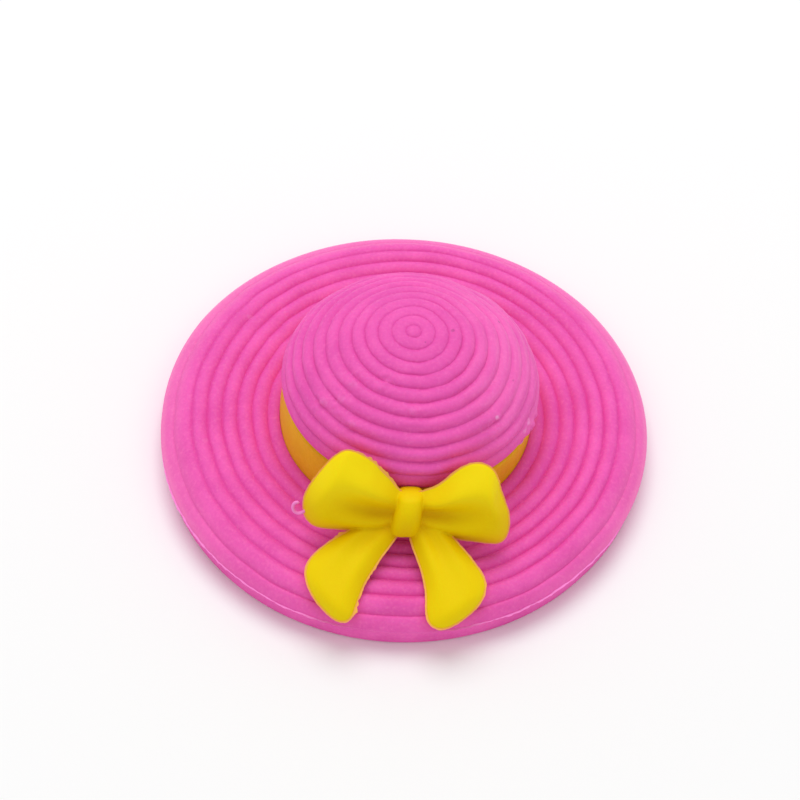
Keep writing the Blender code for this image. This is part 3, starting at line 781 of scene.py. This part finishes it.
def crown_dome(crown, angles):
    """The dome's curve carried round Z and pushed out along its normal by ribs evenly spaced along it,
    seeded lumps, scuffs and streaks. Also gives the painted shade in each point's groove, lighter on the
    right."""
    curve = dome_curve(crown)
    run, curve_radius, curve_height = curve
    whole = run[-1]
    place, last, rim_place = crown_rings(crown, whole)
    along, smooth = strayed((place + CROWN_BUTTON / crown.rib_pitch) * crown.rib_pitch, angles, curve)

    outward = eased(along, 3.0 * MM, 9.0 * MM)
    rib = np.where(place <= last, ribs(place, 0.1 + 0.04 * outward, 0.5 + 0.3 * outward), 0.0)
    rim = 0.6 * np.sin(np.pi * np.clip((place - last) / (rim_place - last), 0.0, 1.0)) ** 0.5
    # Towards the right side the ribs are lower, and the painted groove shade is lighter where the light
    # falls
    right_fade = eased(np.cos(angles - 0.5), 0.2, 0.9) * eased(along, 4.0 * MM, 11.0 * MM)
    strength = 0.6 + (0.57 + 0.15 * wobble(angles, 8, 2, 11)) * eased(along, 1.0 * MM, 9.0 * MM)
    strength = strength * (1.0 + 0.1 * np.cos(angles + 0.4) - 0.1 * eased(np.cos(angles - 2.3), 0.5, 1.0))
    strength = strength * (1.0 + 0.3 * lumps(smooth, 2.4 * MM, 35) - 0.4 * right_fade)
    lift = crown.rib_height * (rib * strength + rim)

    radius = np.interp(along, run, curve_radius)
    height = np.interp(along, run, curve_height) + RIM_HEIGHT + RIM_ROUND
    flat = revolved(radius, height, angles)
    fade = eased(whole - along, 0.0, 1.0 * MM) * eased(along, 0.0, 2.0 * MM)
    lift = lift + fade * uneven(flat, CROWN_LUMPS)
    back = eased(np.cos(angles - 1.8), 0.0, 0.9) * eased(along, 4.0 * MM, 8.5 * MM)
    lift = lift - CROWN_BACK_DIP * back * eased(whole - along, 0.0, 3.0 * MM)
    lift = scuffed(lift, flat, fade)
    lift = lift + 0.02 * MM * fade * eased(np.cos(angles - 0.3), 0.1, 0.9) * round_streaks(flat)
    normal_r = np.interp(along, run, -np.gradient(curve_height, run))
    normal_z = np.interp(along, run, np.gradient(curve_radius, run))
    dome = revolved(radius + lift * normal_r, height + lift * normal_z, angles)
    # Painted shade in the grooves, lighter on the right side
    return dome, np.where(place <= last, 1.0 - rib, 0.0) * (1.0 - 0.4 * right_fade)


def crown_rest(crown, angles):
    """The crown's rim, underside, plug and hollow: a profile carried round Z. The rim and the outer edge
    of the underside lean with the dome, and the plug stays upright."""
    foot = CROWN_LOW.z
    shoulder = RIM_HEIGHT + SHOULDER_RISE
    rim_centre = (crown.radius - RIM_ROUND, RIM_HEIGHT + RIM_ROUND)
    soft = 0.26 * MM
    leaning = np.vstack(
        [
            corner_arc(rim_centre, RIM_ROUND, -15.0, -90.0, 5),
            [(crown.radius - RIM_ROUND - SHOULDER_WIDTH, shoulder)],
        ]
    )
    upright = np.vstack(
        [
            [(crown.plug_radius, shoulder)],
            np.linspace((crown.plug_radius, shoulder - 0.1 * MM), (crown.plug_radius, foot + CHAMFER), 8),
            [(crown.plug_radius - CHAMFER, foot)],
            [(HOLLOW_MOUTH + CHAMFER, foot), (HOLLOW_MOUTH, foot + CHAMFER)],
            [(HOLLOW_RADIUS, HOLLOW_TOP - HOLLOW_ROUND), (HOLLOW_RADIUS - soft, HOLLOW_TOP - soft)],
            [(HOLLOW_RADIUS - HOLLOW_ROUND, HOLLOW_TOP), (1.0 * MM, HOLLOW_TOP)],
        ]
    )
    leaning = lean(revolved(leaning[:, :1], leaning[:, 1:], angles), 1.0)
    return np.concatenate([leaning, revolved(upright[:, :1], upright[:, 1:], angles)])


def crown_grid(crown):
    """The crown as radius and height over a profile and an angle, and the painted shade in each point's
    groove, which is nothing off the dome."""
    angles = round_angles(ROUND_COLUMNS)
    dome, depth = crown_dome(crown, angles)
    rest = crown_rest(crown, angles)
    return np.concatenate([lean(dome, 1.0), rest]), np.pad(depth, ((0, len(rest)), (0, 0)))


def crown_painted_sheen(points):
    """Painted sheen on the crown's right side, where the light falls: streaks along the ribs."""
    x, y, z = points.T
    side = eased(np.cos(np.arctan2(y, x) - 0.2), 0.2, 0.9) * eased(np.hypot(x, y), 4.0 * MM, 9.0 * MM)
    return side * (z > RIM_HEIGHT) * np.clip(0.3 + 0.25 * round_streaks(points), 0.0, 1.0)


def in_plane(middle, along, outward, x, reach, lift):
    """middle + x X + reach along + lift outward, for whole arrays."""
    x, reach, lift = np.broadcast_arrays(x, reach, lift)
    side = np.array((1.0, 0.0, 0.0))
    return (
        np.array(middle)
        + x[..., None] * side
        + reach[..., None] * np.array(along)
        + lift[..., None] * np.array(outward)
    )


def loop_plane():
    """The plane of the bow's loops: its middle, its way up and its way out."""
    along = Vector((0.0, math.sin(LOOP_LEAN), math.cos(LOOP_LEAN)))
    outward = Vector((0.0, -math.cos(LOOP_LEAN), math.sin(LOOP_LEAN)))
    return LOOP_MIDDLE, along, outward


def tail_plane():
    """The plane of the bow's tails: its middle, its way to the brim's edge and its way up."""
    along = Vector((0.0, -math.cos(TAIL_SLOPE), -math.sin(TAIL_SLOPE)))
    upward = Vector((0.0, -math.sin(TAIL_SLOPE), math.cos(TAIL_SLOPE)))
    return TAIL_MIDDLE, along, upward


def pillow_grid(lobe, plane):
    """A lobe between its parting line and its spine. With t from 0 at the line to 1 at the spine, a
    point's height in front is fold (1 - (1-t)^2)^0.7 + ridge sin^2(pi t), and behind it is
    -back (1 - (1-t)^2)^0.6, each read along the spine at the foot of the outline's point."""
    rim = closed_curve(lobe["outline"], LOBE_COLUMNS)
    start, bend, end = np.asarray(lobe["spine"], float)
    chord = end - start
    foot = np.clip(((rim - start) @ chord) / (chord @ chord), 0.0, 1.0)[:, None]
    core = (1.0 - foot) ** 2 * start + 2.0 * foot * (1.0 - foot) * bend + foot**2 * end
    away = rim - core
    side = (chord[0] * away[:, 1] - chord[1] * away[:, 0]) / (np.hypot(*chord) * np.hypot(*away.T))
    left = 0.5 + 0.5 * side
    fold, left_ridge, right_ridge, back = station_curve(lobe["heights"], foot[:, 0]).T
    ridge = left_ridge * left + right_ridge * (1.0 - left)
    inward = (np.linspace(0.0, 1.0, LOBE_ROWS) ** 1.8)[:, None]
    dome = 1.0 - (1.0 - inward) ** 2
    front = fold * dome**0.7 + ridge * np.sin(np.pi * inward) ** 2
    behind = -back * dome**0.6
    inward = np.concatenate([inward[::-1], inward[1:]])
    lift = np.concatenate([front[::-1], behind[1:]]) * MM
    x = (rim[:, 0] + (core[:, 0] - rim[:, 0]) * inward) * MM
    reach = (rim[:, 1] + (core[:, 1] - rim[:, 1]) * inward) * MM
    return in_plane(*plane, x, reach, lift)


def knot_grid():
    """The knot: rounded oblong rings up its front, half width |cos a|^0.85 and depth |sin a|^0.85, with
    a soft upright crease low on its front."""
    quarter = np.linspace(0.0, np.pi / 2.0, KNOT_END_ROWS)
    low, high = KNOT_ENDS
    between = np.linspace(low, high, KNOT_MIDDLE_ROWS + 2)[1:-1]
    path = np.concatenate([low * (1.0 - np.cos(quarter)), between, high + 0.14 * np.sin(quarter)])
    fullness = np.concatenate([np.sin(quarter), np.ones(KNOT_MIDDLE_ROWS), np.cos(quarter)])[:, None]
    height, middle, half, full = np.hsplit(station_curve(KNOT, path), 4)
    around = round_angles(LOBE_COLUMNS)
    cosine, sine = np.cos(around), np.sin(around)
    across = half * np.sign(cosine) * np.abs(cosine) ** 0.85 * fullness**0.5
    depth = np.where(sine >= 0.0, KNOT_FRONT, KNOT_BACK) * full * fullness
    lift = depth * np.sign(sine) * np.abs(sine) ** 0.85
    crease = np.exp(-(((across - 0.15) / 0.35) ** 2)) * eased(height, 0.2, -0.8) * (sine > 0.0)
    lift = lift - KNOT_CREASE * crease
    return in_plane(*loop_plane(), (middle + across) * MM, height * MM, lift)


def peg_circles(radii, places):
    """Circles about the peg's axis, along Y: (r cos a, y, peg height + r sin a)."""
    around = round_angles(PEG_COLUMNS)
    radii, places = np.array(radii)[:, None], np.array(places)[:, None]
    x, y, z = np.broadcast_arrays(radii * np.cos(around), places, PEG_HEIGHT + radii * np.sin(around))
    return np.stack([x, y, z], -1)


def out_of_hat(points):
    """Points nearer to the hat's axis than the crown's clearance moved straight out to it."""
    clear = CROWN_HIGH.x + FIT_GAP
    radius = np.hypot(points[..., 0], points[..., 1])
    push = np.maximum(1.0, clear / np.maximum(radius, 1e-9))
    moved = points.copy()
    moved[..., :2] *= push[..., None]
    return moved


def fold_shade(points):
    """Painted shade in the bow's folds at each point: the most of weight times bell along the folds."""
    deepest = np.zeros(len(points))
    for fold in FOLDS:
        for *place, weight in station_curve(fold, np.linspace(0.0, 1.0, CURVE_STEPS)):
            spot = in_plane(*loop_plane(), *(np.array(place) * MM))
            deepest = np.maximum(deepest, weight * bell(((points - spot) ** 2).sum(-1), FOLD_REACH))
    return deepest


def bow_painted_highlight(points):
    """Painted highlight on the bow: most on the tops of its loops, which face the light, some on its tails'
    middles.
    """
    loops = 0.9 * eased(points[:, 2], 9.8 * MM, 13.4 * MM)
    tails = 0.4 * eased(-points[:, 1], 16.8 * MM, 19.0 * MM)
    return np.maximum(loops, tails)


def fin_surface(name, path, outward, upward, widths):
    """A thin fin along a closed path: a flat three-cornered section from under the surface out to the
    fin's own width at each point."""
    section = [
        path - FIN_ROOT * outward + FIN_HALF_THICKNESS * upward,
        path - FIN_ROOT * outward - FIN_HALF_THICKNESS * upward,
        path + widths[:, None] * outward,
    ]
    obj = merged(surface_object(name, np.stack(section, 1), closed_rows=True))
    obj.data.shade_flat()
    return obj


def lobe_seam(name, lobe, plane, tears, width, seed):
    """The fin of flash on a lobe's parting line, torn where the lobe's tears are."""
    rim = closed_curve(lobe["outline"], 2 * LOBE_COLUMNS)
    ahead = np.roll(rim, -1, axis=0) - np.roll(rim, 1, axis=0)
    ahead /= np.hypot(*ahead.T)[:, None]
    turn = np.sign(np.sum(rim[:, 0] * np.roll(rim[:, 1], -1) - np.roll(rim[:, 0], -1) * rim[:, 1]))
    level = np.zeros(len(rim))
    path = out_of_hat(in_plane(*plane, rim[:, 0] * MM, rim[:, 1] * MM, level))
    outward = in_plane((0.0, 0.0, 0.0), *plane[1:], ahead[:, 1] * turn, -ahead[:, 0] * turn, level)
    rough = lumps(path, 0.35 * MM, seed) + 0.6 * lumps(path, 0.15 * MM, seed + 1)
    widths = width * (0.8 + 0.2 * rough)
    for x, reach, size, span in tears:
        near = bell((rim[:, 0] - x) ** 2 + (rim[:, 1] - reach) ** 2, span)
        widths = widths + size * MM * near * (0.5 + 0.9 * rough)
    return fin_surface(name, path, outward, np.array(plane[2]), np.clip(widths, 2.0 * FIN_LEAST, None))


def ring_seam(name, path, tears, seed):
    """The fin of flash along a ring round Z, torn and wavy where its tears are."""
    rough = 0.4 * lumps(path, 0.6 * MM, seed) + 0.35 * lumps(path, 0.25 * MM, seed + 1)
    torn = np.zeros(len(path))
    for angle, half, size in tears:
        away = (np.degrees(SEAM_ANGLES) - angle + 180.0) % 360.0 - 180.0
        torn = torn + size * MM * np.exp(-((away / half) ** 4))
    widths = FIN_LEAST + torn * np.clip(0.75 + rough, 0.0, None)
    path[:, 2] += 0.4 * torn * lumps(path, 0.7 * MM, seed + 2)
    return fin_surface(name, path, revolved(1.0, 0.0, SEAM_ANGLES), np.array((0.0, 0.0, 1.0)), widths)


def curl_grid():
    """The curled shred: circles that shrink to its tip, round its path."""
    share = np.linspace(0.0, 1.0, CURL_STEPS)
    path = station_curve(CURL, share)
    ahead = np.gradient(path, axis=0)
    ahead /= np.hypot(*ahead.T)[:, None]
    around = round_angles(CURL_COLUMNS)
    thin = CURL_RADIUS * np.sqrt(np.clip(share * 12.0, 0.0, 1.0))[::-1, None] + CURL_TIP
    x = path[:, :1] * MM + thin * np.cos(around) * ahead[:, 1:]
    reach = path[:, 1:] * MM - thin * np.cos(around) * ahead[:, :1]
    return in_plane(*loop_plane(), x, reach, thin * np.sin(around))


def fed(tree, made, inputs):
    """The node with each of the inputs given as a value or as the socket that feeds it."""
    for key, value in dict(inputs).items():
        socket = made.inputs[key]
        if isinstance(value, bpy.types.NodeSocket):
            tree.links.new(value, socket)
        else:
            socket.default_value = value
    return made


def node(tree, kind, inputs=(), **settings):
    """A new node with its settings and inputs."""
    return fed(tree, settings_on(tree.nodes.new(kind), **settings), inputs)


def noise(tree, place, scale, detail, roughness=0.5):
    """A noise over the surface, about 0.5."""
    inputs = {"Vector": place, "Scale": scale, "Detail": detail, "Roughness": roughness}
    return node(tree, "ShaderNodeTexNoise", inputs).outputs["Fac"]


def maths(tree, operation, *values, clamp=False):
    """One sum on sockets or numbers."""
    made = node(tree, "ShaderNodeMath", enumerate(values), operation=operation, use_clamp=clamp)
    return made.outputs[0]


def ranged(tree, value, low, high, most):
    """0 to most as the value goes from low to high."""
    inputs = {"Value": value, "From Min": low, "From Max": high, "To Max": most}
    return node(tree, "ShaderNodeMapRange", inputs).outputs["Result"]


def mixed(tree, share, colour, other):
    """A colour with a share of another mixed in."""
    return node(tree, "ShaderNodeMix", {0: share, 6: colour, 7: other}, data_type="RGBA").outputs[2]


FLOAT = "NodeSocketFloat"
COLOUR = "NodeSocketColor"
VECTOR = "NodeSocketVector"


def node_group(name, inputs, output_kind, output_name):
    """An empty shader group with named inputs, each (name, socket kind, default), and one output."""
    group = bpy.data.node_groups.new(name, "ShaderNodeTree")
    for label, kind, default in inputs:
        socket = group.interface.new_socket(label, in_out="INPUT", socket_type=kind)
        if default is not None:
            socket.default_value = default
    group.interface.new_socket(output_name, in_out="OUTPUT", socket_type=output_kind)
    return group, group.nodes.new("NodeGroupInput").outputs, group.nodes.new("NodeGroupOutput").inputs


def rubber_tone_group():
    """Soft patches of a deeper tone and fine paler flecks, with painted shade and painted light: two sizes
    of noise and the painted shade, squared, mix in the deep colour, and a third noise and the painted light
    mix in the pale colour."""
    sockets = (
        ("Vector", VECTOR, None),
        ("Colour", COLOUR, None),
        ("Deep Colour", COLOUR, None),
        ("Pale Colour", COLOUR, None),
        ("Patches", FLOAT, PATCH_SCALE),
        ("Patch Share", FLOAT, 1.0),
        ("Groove", FLOAT, 0.0),
        ("Flecks", FLOAT, 0.3),
        ("Painted Light", FLOAT, 0.0),
    )
    group, given, out = node_group("Rubber tone", sockets, COLOUR, "Colour")
    place = given["Vector"]
    broad = noise(group, place, given["Patches"], 4.0)
    both = maths(group, "MULTIPLY_ADD", noise(group, place, MOTTLE_SCALE, 3.0), 0.5, broad)
    patches = ranged(group, both, 0.5, 1.0, given["Patch Share"])
    # Painted shade, squared, deepens the colour
    groove = maths(group, "POWER", given["Groove"], 2.0)
    deep = maths(group, "ADD", patches, groove, clamp=True)
    toned = mixed(group, deep, given["Colour"], given["Deep Colour"])
    flecks = ranged(group, noise(group, place, FLECK_SCALE, 4.0), 0.5, 0.8, given["Flecks"])
    # Painted light pales the colour along with the flecks
    paler = maths(group, "ADD", flecks, given["Painted Light"], clamp=True)
    group.links.new(mixed(group, paler, toned, given["Pale Colour"]), out["Colour"])
    return group


def rubber_mark_group():
    """The mask of one mark: its strength near its place, with a ragged edge from a fine noise."""
    sockets = (
        ("Vector", VECTOR, None),
        ("Place", VECTOR, None),
        ("Reach", FLOAT, 0.3 * MM),
        ("Strength", FLOAT, 0.5),
        ("Others", FLOAT, 0.0),
    )
    group, given, out = node_group("Rubber mark", sockets, FLOAT, "Mask")
    fine = noise(group, given["Vector"], MARK_SCALE, 3.0)
    away = node(group, "ShaderNodeVectorMath", {0: given["Vector"], 1: given["Place"]}, operation="DISTANCE")
    near = maths(group, "DIVIDE", away.outputs["Value"], given["Reach"])
    mask = ranged(group, maths(group, "MULTIPLY_ADD", fine, 1.6, near), 1.7, 1.1, given["Strength"])
    group.links.new(maths(group, "MAXIMUM", mask, given["Others"]), out["Mask"])
    return group


def rubber_skin_group():
    """The fine matt skin of moulded rubber: small and very small bumps."""
    sockets = (("Vector", VECTOR, None), ("Grain", FLOAT, SKIN_SCALE), ("Strength", FLOAT, 0.25))
    group, given, out = node_group("Rubber skin", sockets, VECTOR, "Normal")
    grain = noise(group, given["Vector"], given["Grain"], 6.0, roughness=0.65)
    inputs = {"Strength": given["Strength"], "Distance": SKIN_DEPTH, "Height": grain}
    group.links.new(node(group, "ShaderNodeBump", inputs).outputs["Normal"], out["Normal"])
    return group


def shared_groups():
    """The groups for tone, mark and skin, made when they are first asked for."""
    makers = {
        "Rubber tone": rubber_tone_group,
        "Rubber mark": rubber_mark_group,
        "Rubber skin": rubber_skin_group,
    }
    return [bpy.data.node_groups.get(name) or make() for name, make in makers.items()]


def plain_material(name, inputs):
    """A material whose shader has these inputs, and that shader."""
    material = bpy.data.materials.new(name)
    material.use_nodes = True
    tree = material.node_tree
    return material, fed(tree, tree.nodes["Principled BSDF"], inputs)


def skinned_material(name, tones, roughness, gloss):
    """A material with the shared tone and skin, and its shader, place and toned node."""
    tone, _, skin = shared_groups()
    material, shader = plain_material(name, {"Roughness": roughness, "Specular IOR Level": gloss})
    tree = material.node_tree
    place = node(tree, "ShaderNodeTexCoord").outputs["Object"]
    toned = node(tree, "ShaderNodeGroup", {"Vector": place, **tones}, node_tree=tone)
    skinned = node(tree, "ShaderNodeGroup", {"Vector": place}, node_tree=skin)
    fed(tree, shader, {"Normal": skinned.outputs["Normal"]})
    return material, shader, place, toned


def marked(tree, place, colour, marks, mark_colour):
    """The colour with its marks mixed in."""
    mark_group = shared_groups()[1]
    mask = None
    for spot, reach, strength in marks:
        inputs = {
            "Vector": place,
            "Place": [size * MM for size in spot],
            "Reach": reach * MM,
            "Strength": strength,
        }
        if mask:
            inputs["Others"] = mask
        mask = node(tree, "ShaderNodeGroup", inputs, node_tree=mark_group).outputs["Mask"]
    return mixed(tree, mask, colour, (*mark_colour, 1.0))


def rubber(
    name, settings, gloss=RUBBER_GLOSS, patches=1.0, flecks=0.35, painted_shading=False, pale_marks=(), dark_marks=()
):
    """Moulded rubber: soft patches of tone, pale flecks, marks, a fine matt skin, and painted shade and
    light where asked.
    """
    tones = {
        "Colour": (*settings.tint, 1.0),
        "Deep Colour": (*settings.deep_tint, 1.0),
        "Pale Colour": (*settings.pale_tint, 1.0),
        "Patch Share": patches,
        "Flecks": flecks,
    }
    material, shader, place, toned = skinned_material(name, tones, RUBBER_ROUGHNESS, gloss)
    tree = material.node_tree
    if painted_shading:
        # Painted shade and painted light, read from the mesh's attributes
        for attribute, socket in (("groove", "Groove"), ("painted_light", "Painted Light")):
            painted = node(tree, "ShaderNodeAttribute", attribute_name=attribute)
            fed(tree, toned, {socket: painted.outputs["Fac"]})
    shown = toned.outputs["Colour"]
    if pale_marks:
        shown = marked(tree, place, shown, pale_marks, settings.mark_tint)
    if dark_marks:
        shown = marked(tree, place, shown, dark_marks, DARK_MARK_TINT)
    fed(tree, shader, {"Base Color": shown, **SUBSURFACE})
    return material


def flash(name, tint):
    """The thin torn rubber of a parting line: one pale tint with the shared patches and skin."""
    deep = (*(0.9 * part for part in tint), 1.0)
    tones = {"Colour": (*tint, 1.0), "Deep Colour": deep, "Pale Colour": (*tint, 1.0)}
    material, shader, _, toned = skinned_material(name, tones, FLASH_ROUGHNESS, RUBBER_GLOSS)
    fed(material.node_tree, shader, {"Base Color": toned.outputs["Colour"]})
    return material


def dress(obj, material, body, slot, *nodes):
    """Gives a piece its material and its body, and hides the CAD nodes that it stands for. Its slot is not
    used.
    """
    obj.data.materials.clear()
    obj.data.materials.append(material)
    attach(obj, body)
    if nodes:
        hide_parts(*nodes)


class SUNHAT_OT_brim(bpy.types.Operator):
    """Build the ribbed brim"""

    bl_idname = "sun_hat.brim"
    bl_label = "Brim"

    def execute(self, context):
        brim = context.scene.sun_hat_brim
        grid, depth, painted_light = brim_grid(brim)
        obj = surface_object("brim_rubber", grid, closed_rows=True)
        # Painted shade and painted sheen on the brim's vertices
        paint(obj, "groove", depth)
        paint(obj, "painted_light", painted_light)
        material = rubber("Pink rubber", brim, painted_shading=True, pale_marks=BRIM_PALE_MARKS)
        dress(obj, material, "brim", "pink_rubber", "brim")
        edge = brim.radius + off_round(SEAM_ANGLES, brim.radius)
        seam = ring_seam("brim_seam", revolved(edge, brim.parting_height, SEAM_ANGLES), BRIM_TEARS, 41)
        dress(seam, flash("Pink flash", brim.flash_tint), "brim", "pink_rubber")
        return {"FINISHED"}


class SUNHAT_OT_ribbon_band(bpy.types.Operator):
    """Build the ribbon band with the hole for the bow's peg"""

    bl_idname = "sun_hat.ribbon_band"
    bl_label = "Ribbon Band"

    def execute(self, context):
        band = context.scene.sun_hat_band
        grid = band_grid(band, context.scene.sun_hat_crown.plug_radius)
        obj = surface_object("band_rubber", grid, closed_rows=True)
        reach = PEG_RADIUS + FIT_GAP
        ends = (BAND_LOW.y - 1.0 * MM, BAND_LOW.y + PEG_DEPTH + FIT_GAP)
        hole = capped("peg_hole", peg_circles((reach, reach), ends))
        cut = obj.modifiers.new("Peg hole", "BOOLEAN")
        settings_on(cut, operation="DIFFERENCE", solver="EXACT", object=hole)
        settled(obj)
        bpy.data.objects.remove(hole, do_unlink=True)
        dress(obj, rubber("Amber rubber", band), "ribbon_band", "amber_rubber", "ribbon_band")
        return {"FINISHED"}


class SUNHAT_OT_crown(bpy.types.Operator):
    """Build the ribbed crown with its hollow plug"""

    bl_idname = "sun_hat.crown"
    bl_label = "Crown"

    def execute(self, context):
        crown = context.scene.sun_hat_crown
        grid, depth = crown_grid(crown)
        poles = {"first_pole": grid[0].mean(0), "last_pole": (0.0, 0.0, HOLLOW_TOP)}
        obj = surface_object("crown_rubber", grid, **poles)
        # Painted shade in the grooves, and painted sheen on the right side
        paint(obj, "groove", [*depth.ravel(), 0.0, 0.0])
        paint(obj, "painted_light", crown_painted_sheen(vertex_places(obj)))
        marks = {"pale_marks": CROWN_PALE_MARKS, "dark_marks": CROWN_DARK_MARKS}
        dress(obj, rubber("Rose rubber", crown, painted_shading=True, **marks), "crown", "rose_rubber", "crown")
        path = lean(revolved(crown.radius, RIM_HEIGHT + RIM_ROUND, SEAM_ANGLES), 1.0)
        seam = ring_seam("crown_seam", path, CROWN_TEARS, 43)
        dress(seam, flash("Rose flash", context.scene.sun_hat_brim.flash_tint), "crown", "rose_rubber")
        return {"FINISHED"}


class SUNHAT_OT_bow(bpy.types.Operator):
    """Build the bow's loops, tails, knot and peg as one skin, and the flash round them"""

    bl_idname = "sun_hat.bow"
    bl_label = "Bow"

    def execute(self, context):
        bow = context.scene.sun_hat_bow
        lobes = (
            ("left_loop", LEFT_LOOP, loop_plane(), LOOP_TEARS, 51),
            ("right_loop", RIGHT_LOOP, loop_plane(), (), 53),
            ("left_tail", LEFT_TAIL, tail_plane(), LEFT_TAIL_TEARS, 55),
            ("right_tail", RIGHT_TAIL, tail_plane(), (), 57),
        )
        parts = [
            merged(surface_object(name, out_of_hat(pillow_grid(lobe, plane))))
            for name, lobe, plane, _, _ in lobes
        ]
        parts.append(capped("knot", out_of_hat(knot_grid())))
        end = BAND_LOW.y + PEG_DEPTH
        places = (BAND_LOW.y - PEG_ROOT, end - PEG_CHAMFER, end)
        parts.append(capped("peg", peg_circles((PEG_RADIUS, PEG_RADIUS, PEG_RADIUS - PEG_CHAMFER), places)))
        obj = joined("bow_rubber", parts)
        skin = obj.modifiers.new("One skin", "REMESH")
        settings_on(skin, mode="VOXEL", voxel_size=bow.grain, use_smooth_shade=True)
        settings_on(obj.modifiers.new("Soften", "SMOOTH"), factor=0.5, iterations=5)
        settled(obj)
        places = vertex_places(obj)
        # Painted shade in the folds, and painted highlight on the tops of the loops and the middles of the
        # tails
        paint(obj, "groove", fold_shade(places))
        paint(obj, "painted_light", bow_painted_highlight(places))
        material = rubber("Lemon rubber", bow, gloss=0.06, patches=0.25, flecks=0.05, painted_shading=True)
        dress(obj, material, "bow", "lemon_rubber", "bow")

        material = flash("Bow flash", bow.flash_tint)
        for name, lobe, plane, tears, seed in lobes:
            seam = lobe_seam(f"{name}_seam", lobe, plane, tears, bow.seam_width, seed)
            dress(seam, material, "bow", "lemon_rubber")
        curl_material = flash("Curl", context.scene.sun_hat_brim.flash_tint)
        dress(capped("curl", curl_grid()), curl_material, "bow", "pink_rubber")
        return {"FINISHED"}


def camera_matrix(focal_pixels):
    """The camera's place: its elevation, roll and turn, with the aim point at its pixel of 800 x 800."""
    right = Vector((1.0, 0.0, 0.0))
    up = Vector((0.0, math.sin(CAMERA_ELEVATION), math.cos(CAMERA_ELEVATION)))
    back = Vector((0.0, -math.cos(CAMERA_ELEVATION), math.sin(CAMERA_ELEVATION)))
    image_x = right * math.cos(CAMERA_ROLL) + up * math.sin(CAMERA_ROLL)
    image_y = up * math.cos(CAMERA_ROLL) - right * math.sin(CAMERA_ROLL)
    across = (AIM_PIXEL[0] - IMAGE_PIXELS / 2.0) / focal_pixels
    down = (AIM_PIXEL[1] - IMAGE_PIXELS / 2.0) / focal_pixels
    place = (back - image_x * across + image_y * down) * CAMERA_DISTANCE
    rotation = Matrix((image_x, image_y, back)).transposed().to_4x4()
    turn = Matrix.Rotation(CAMERA_TURN, 4, "Z")
    return turn @ Matrix.Translation(place + Vector((0.0, 0.0, AIM_HEIGHT))) @ rotation


def add_floor(stage):
    """A wide plain matt floor, which is no part of the hat."""
    corners = np.array([(-1.0, -1.0, 0.0), (1.0, -1.0, 0.0), (1.0, 1.0, 0.0), (-1.0, 1.0, 0.0)]) * FLOOR_HALF
    floor = mesh_object("floor", corners, [(0, 1, 2, 3)])
    matt = {"Base Color": (*stage.floor, 1.0), "Roughness": 0.9, "Specular IOR Level": 0.0}
    floor.data.materials.append(plain_material("Floor", matt)[0])


def add_light(scene, stage):
    """Even white light from all round, seen as plain white, and one soft lamp behind the hat."""
    world = bpy.data.worlds.new("Even light")
    world.use_nodes = True
    tree = world.node_tree
    seen = node(tree, "ShaderNodeLightPath").outputs["Is Camera Ray"]
    strength = node(tree, "ShaderNodeMapRange", {"Value": seen, "To Min": stage.sky, "To Max": 1.0})
    white = (1.0, 1.0, 1.0, 1.0)
    fed(tree, tree.nodes["Background"], {"Color": white, "Strength": strength.outputs["Result"]})
    scene.world = world

    lamp = bpy.data.lights.new("Soft lamp", "AREA")
    settings_on(lamp, shape="DISK", size=LAMP_SIZE, energy=stage.key)
    lamp_object = linked("Soft lamp", lamp)
    lamp_object.location = LAMP_PLACE
    lamp_object.rotation_euler = Vector(LAMP_PLACE).to_track_quat("Z", "Y").to_euler()


def add_camera(scene, stage):
    """The camera at the place that camera_matrix gives."""
    camera = bpy.data.cameras.new("Camera")
    settings_on(camera, lens=stage.lens, sensor_width=SENSOR_MM, clip_start=0.01, clip_end=20.0)
    scene.camera = linked("Camera", camera)
    scene.camera.matrix_world = camera_matrix(stage.lens / SENSOR_MM * IMAGE_PIXELS)


class SUNHAT_OT_stage(bpy.types.Operator):
    """Set the floor, the light and the camera"""

    bl_idname = "sun_hat.stage"
    bl_label = "Stage"

    def execute(self, context):
        stage = context.scene.sun_hat_stage
        add_floor(stage)
        add_light(context.scene, stage)
        add_camera(context.scene, stage)
        context.scene.view_settings.view_transform = "Standard"
        return {"FINISHED"}


class SUNHAT_PT_panel(bpy.types.Panel):
    """Lists the pieces of the sun hat and their sizes"""

    bl_idname = "SUNHAT_PT_panel"
    bl_label = "Sun Hat"
    bl_space_type = "VIEW_3D"
    bl_region_type = "UI"
    bl_category = "Sun Hat"

    def draw(self, context):
        for name, operator in zip(SETTINGS, OPERATORS):
            box = self.layout.box()
            box.operator(operator.bl_idname)
            group = getattr(context.scene, name)
            for key in group.bl_rna.properties.keys():
                if key not in ("rna_type", "name"):
                    box.prop(group, key)


SETTINGS = {
    "sun_hat_brim": BrimSettings,
    "sun_hat_band": BandSettings,
    "sun_hat_crown": CrownSettings,
    "sun_hat_bow": BowSettings,
    "sun_hat_stage": StageSettings,
}
OPERATORS = (SUNHAT_OT_brim, SUNHAT_OT_ribbon_band, SUNHAT_OT_crown, SUNHAT_OT_bow, SUNHAT_OT_stage)
CLASSES = (*SETTINGS.values(), *OPERATORS, SUNHAT_PT_panel)


def register():
    """Adds the classes, and the settings to the scene."""
    for cls in CLASSES:
        bpy.utils.register_class(cls)
    for name, settings in SETTINGS.items():
        setattr(bpy.types.Scene, name, PointerProperty(type=settings))


def unregister():
    """Takes them away again."""
    for name in SETTINGS:
        delattr(bpy.types.Scene, name)
    for cls in reversed(CLASSES):
        bpy.utils.unregister_class(cls)


def main():
    """Builds all the pieces and the stage."""
    register()
    bpy.ops.sun_hat.brim()
    bpy.ops.sun_hat.ribbon_band()
    bpy.ops.sun_hat.crown()
    bpy.ops.sun_hat.bow()
    bpy.ops.sun_hat.stage()


if __name__ == "__main__":
    main()
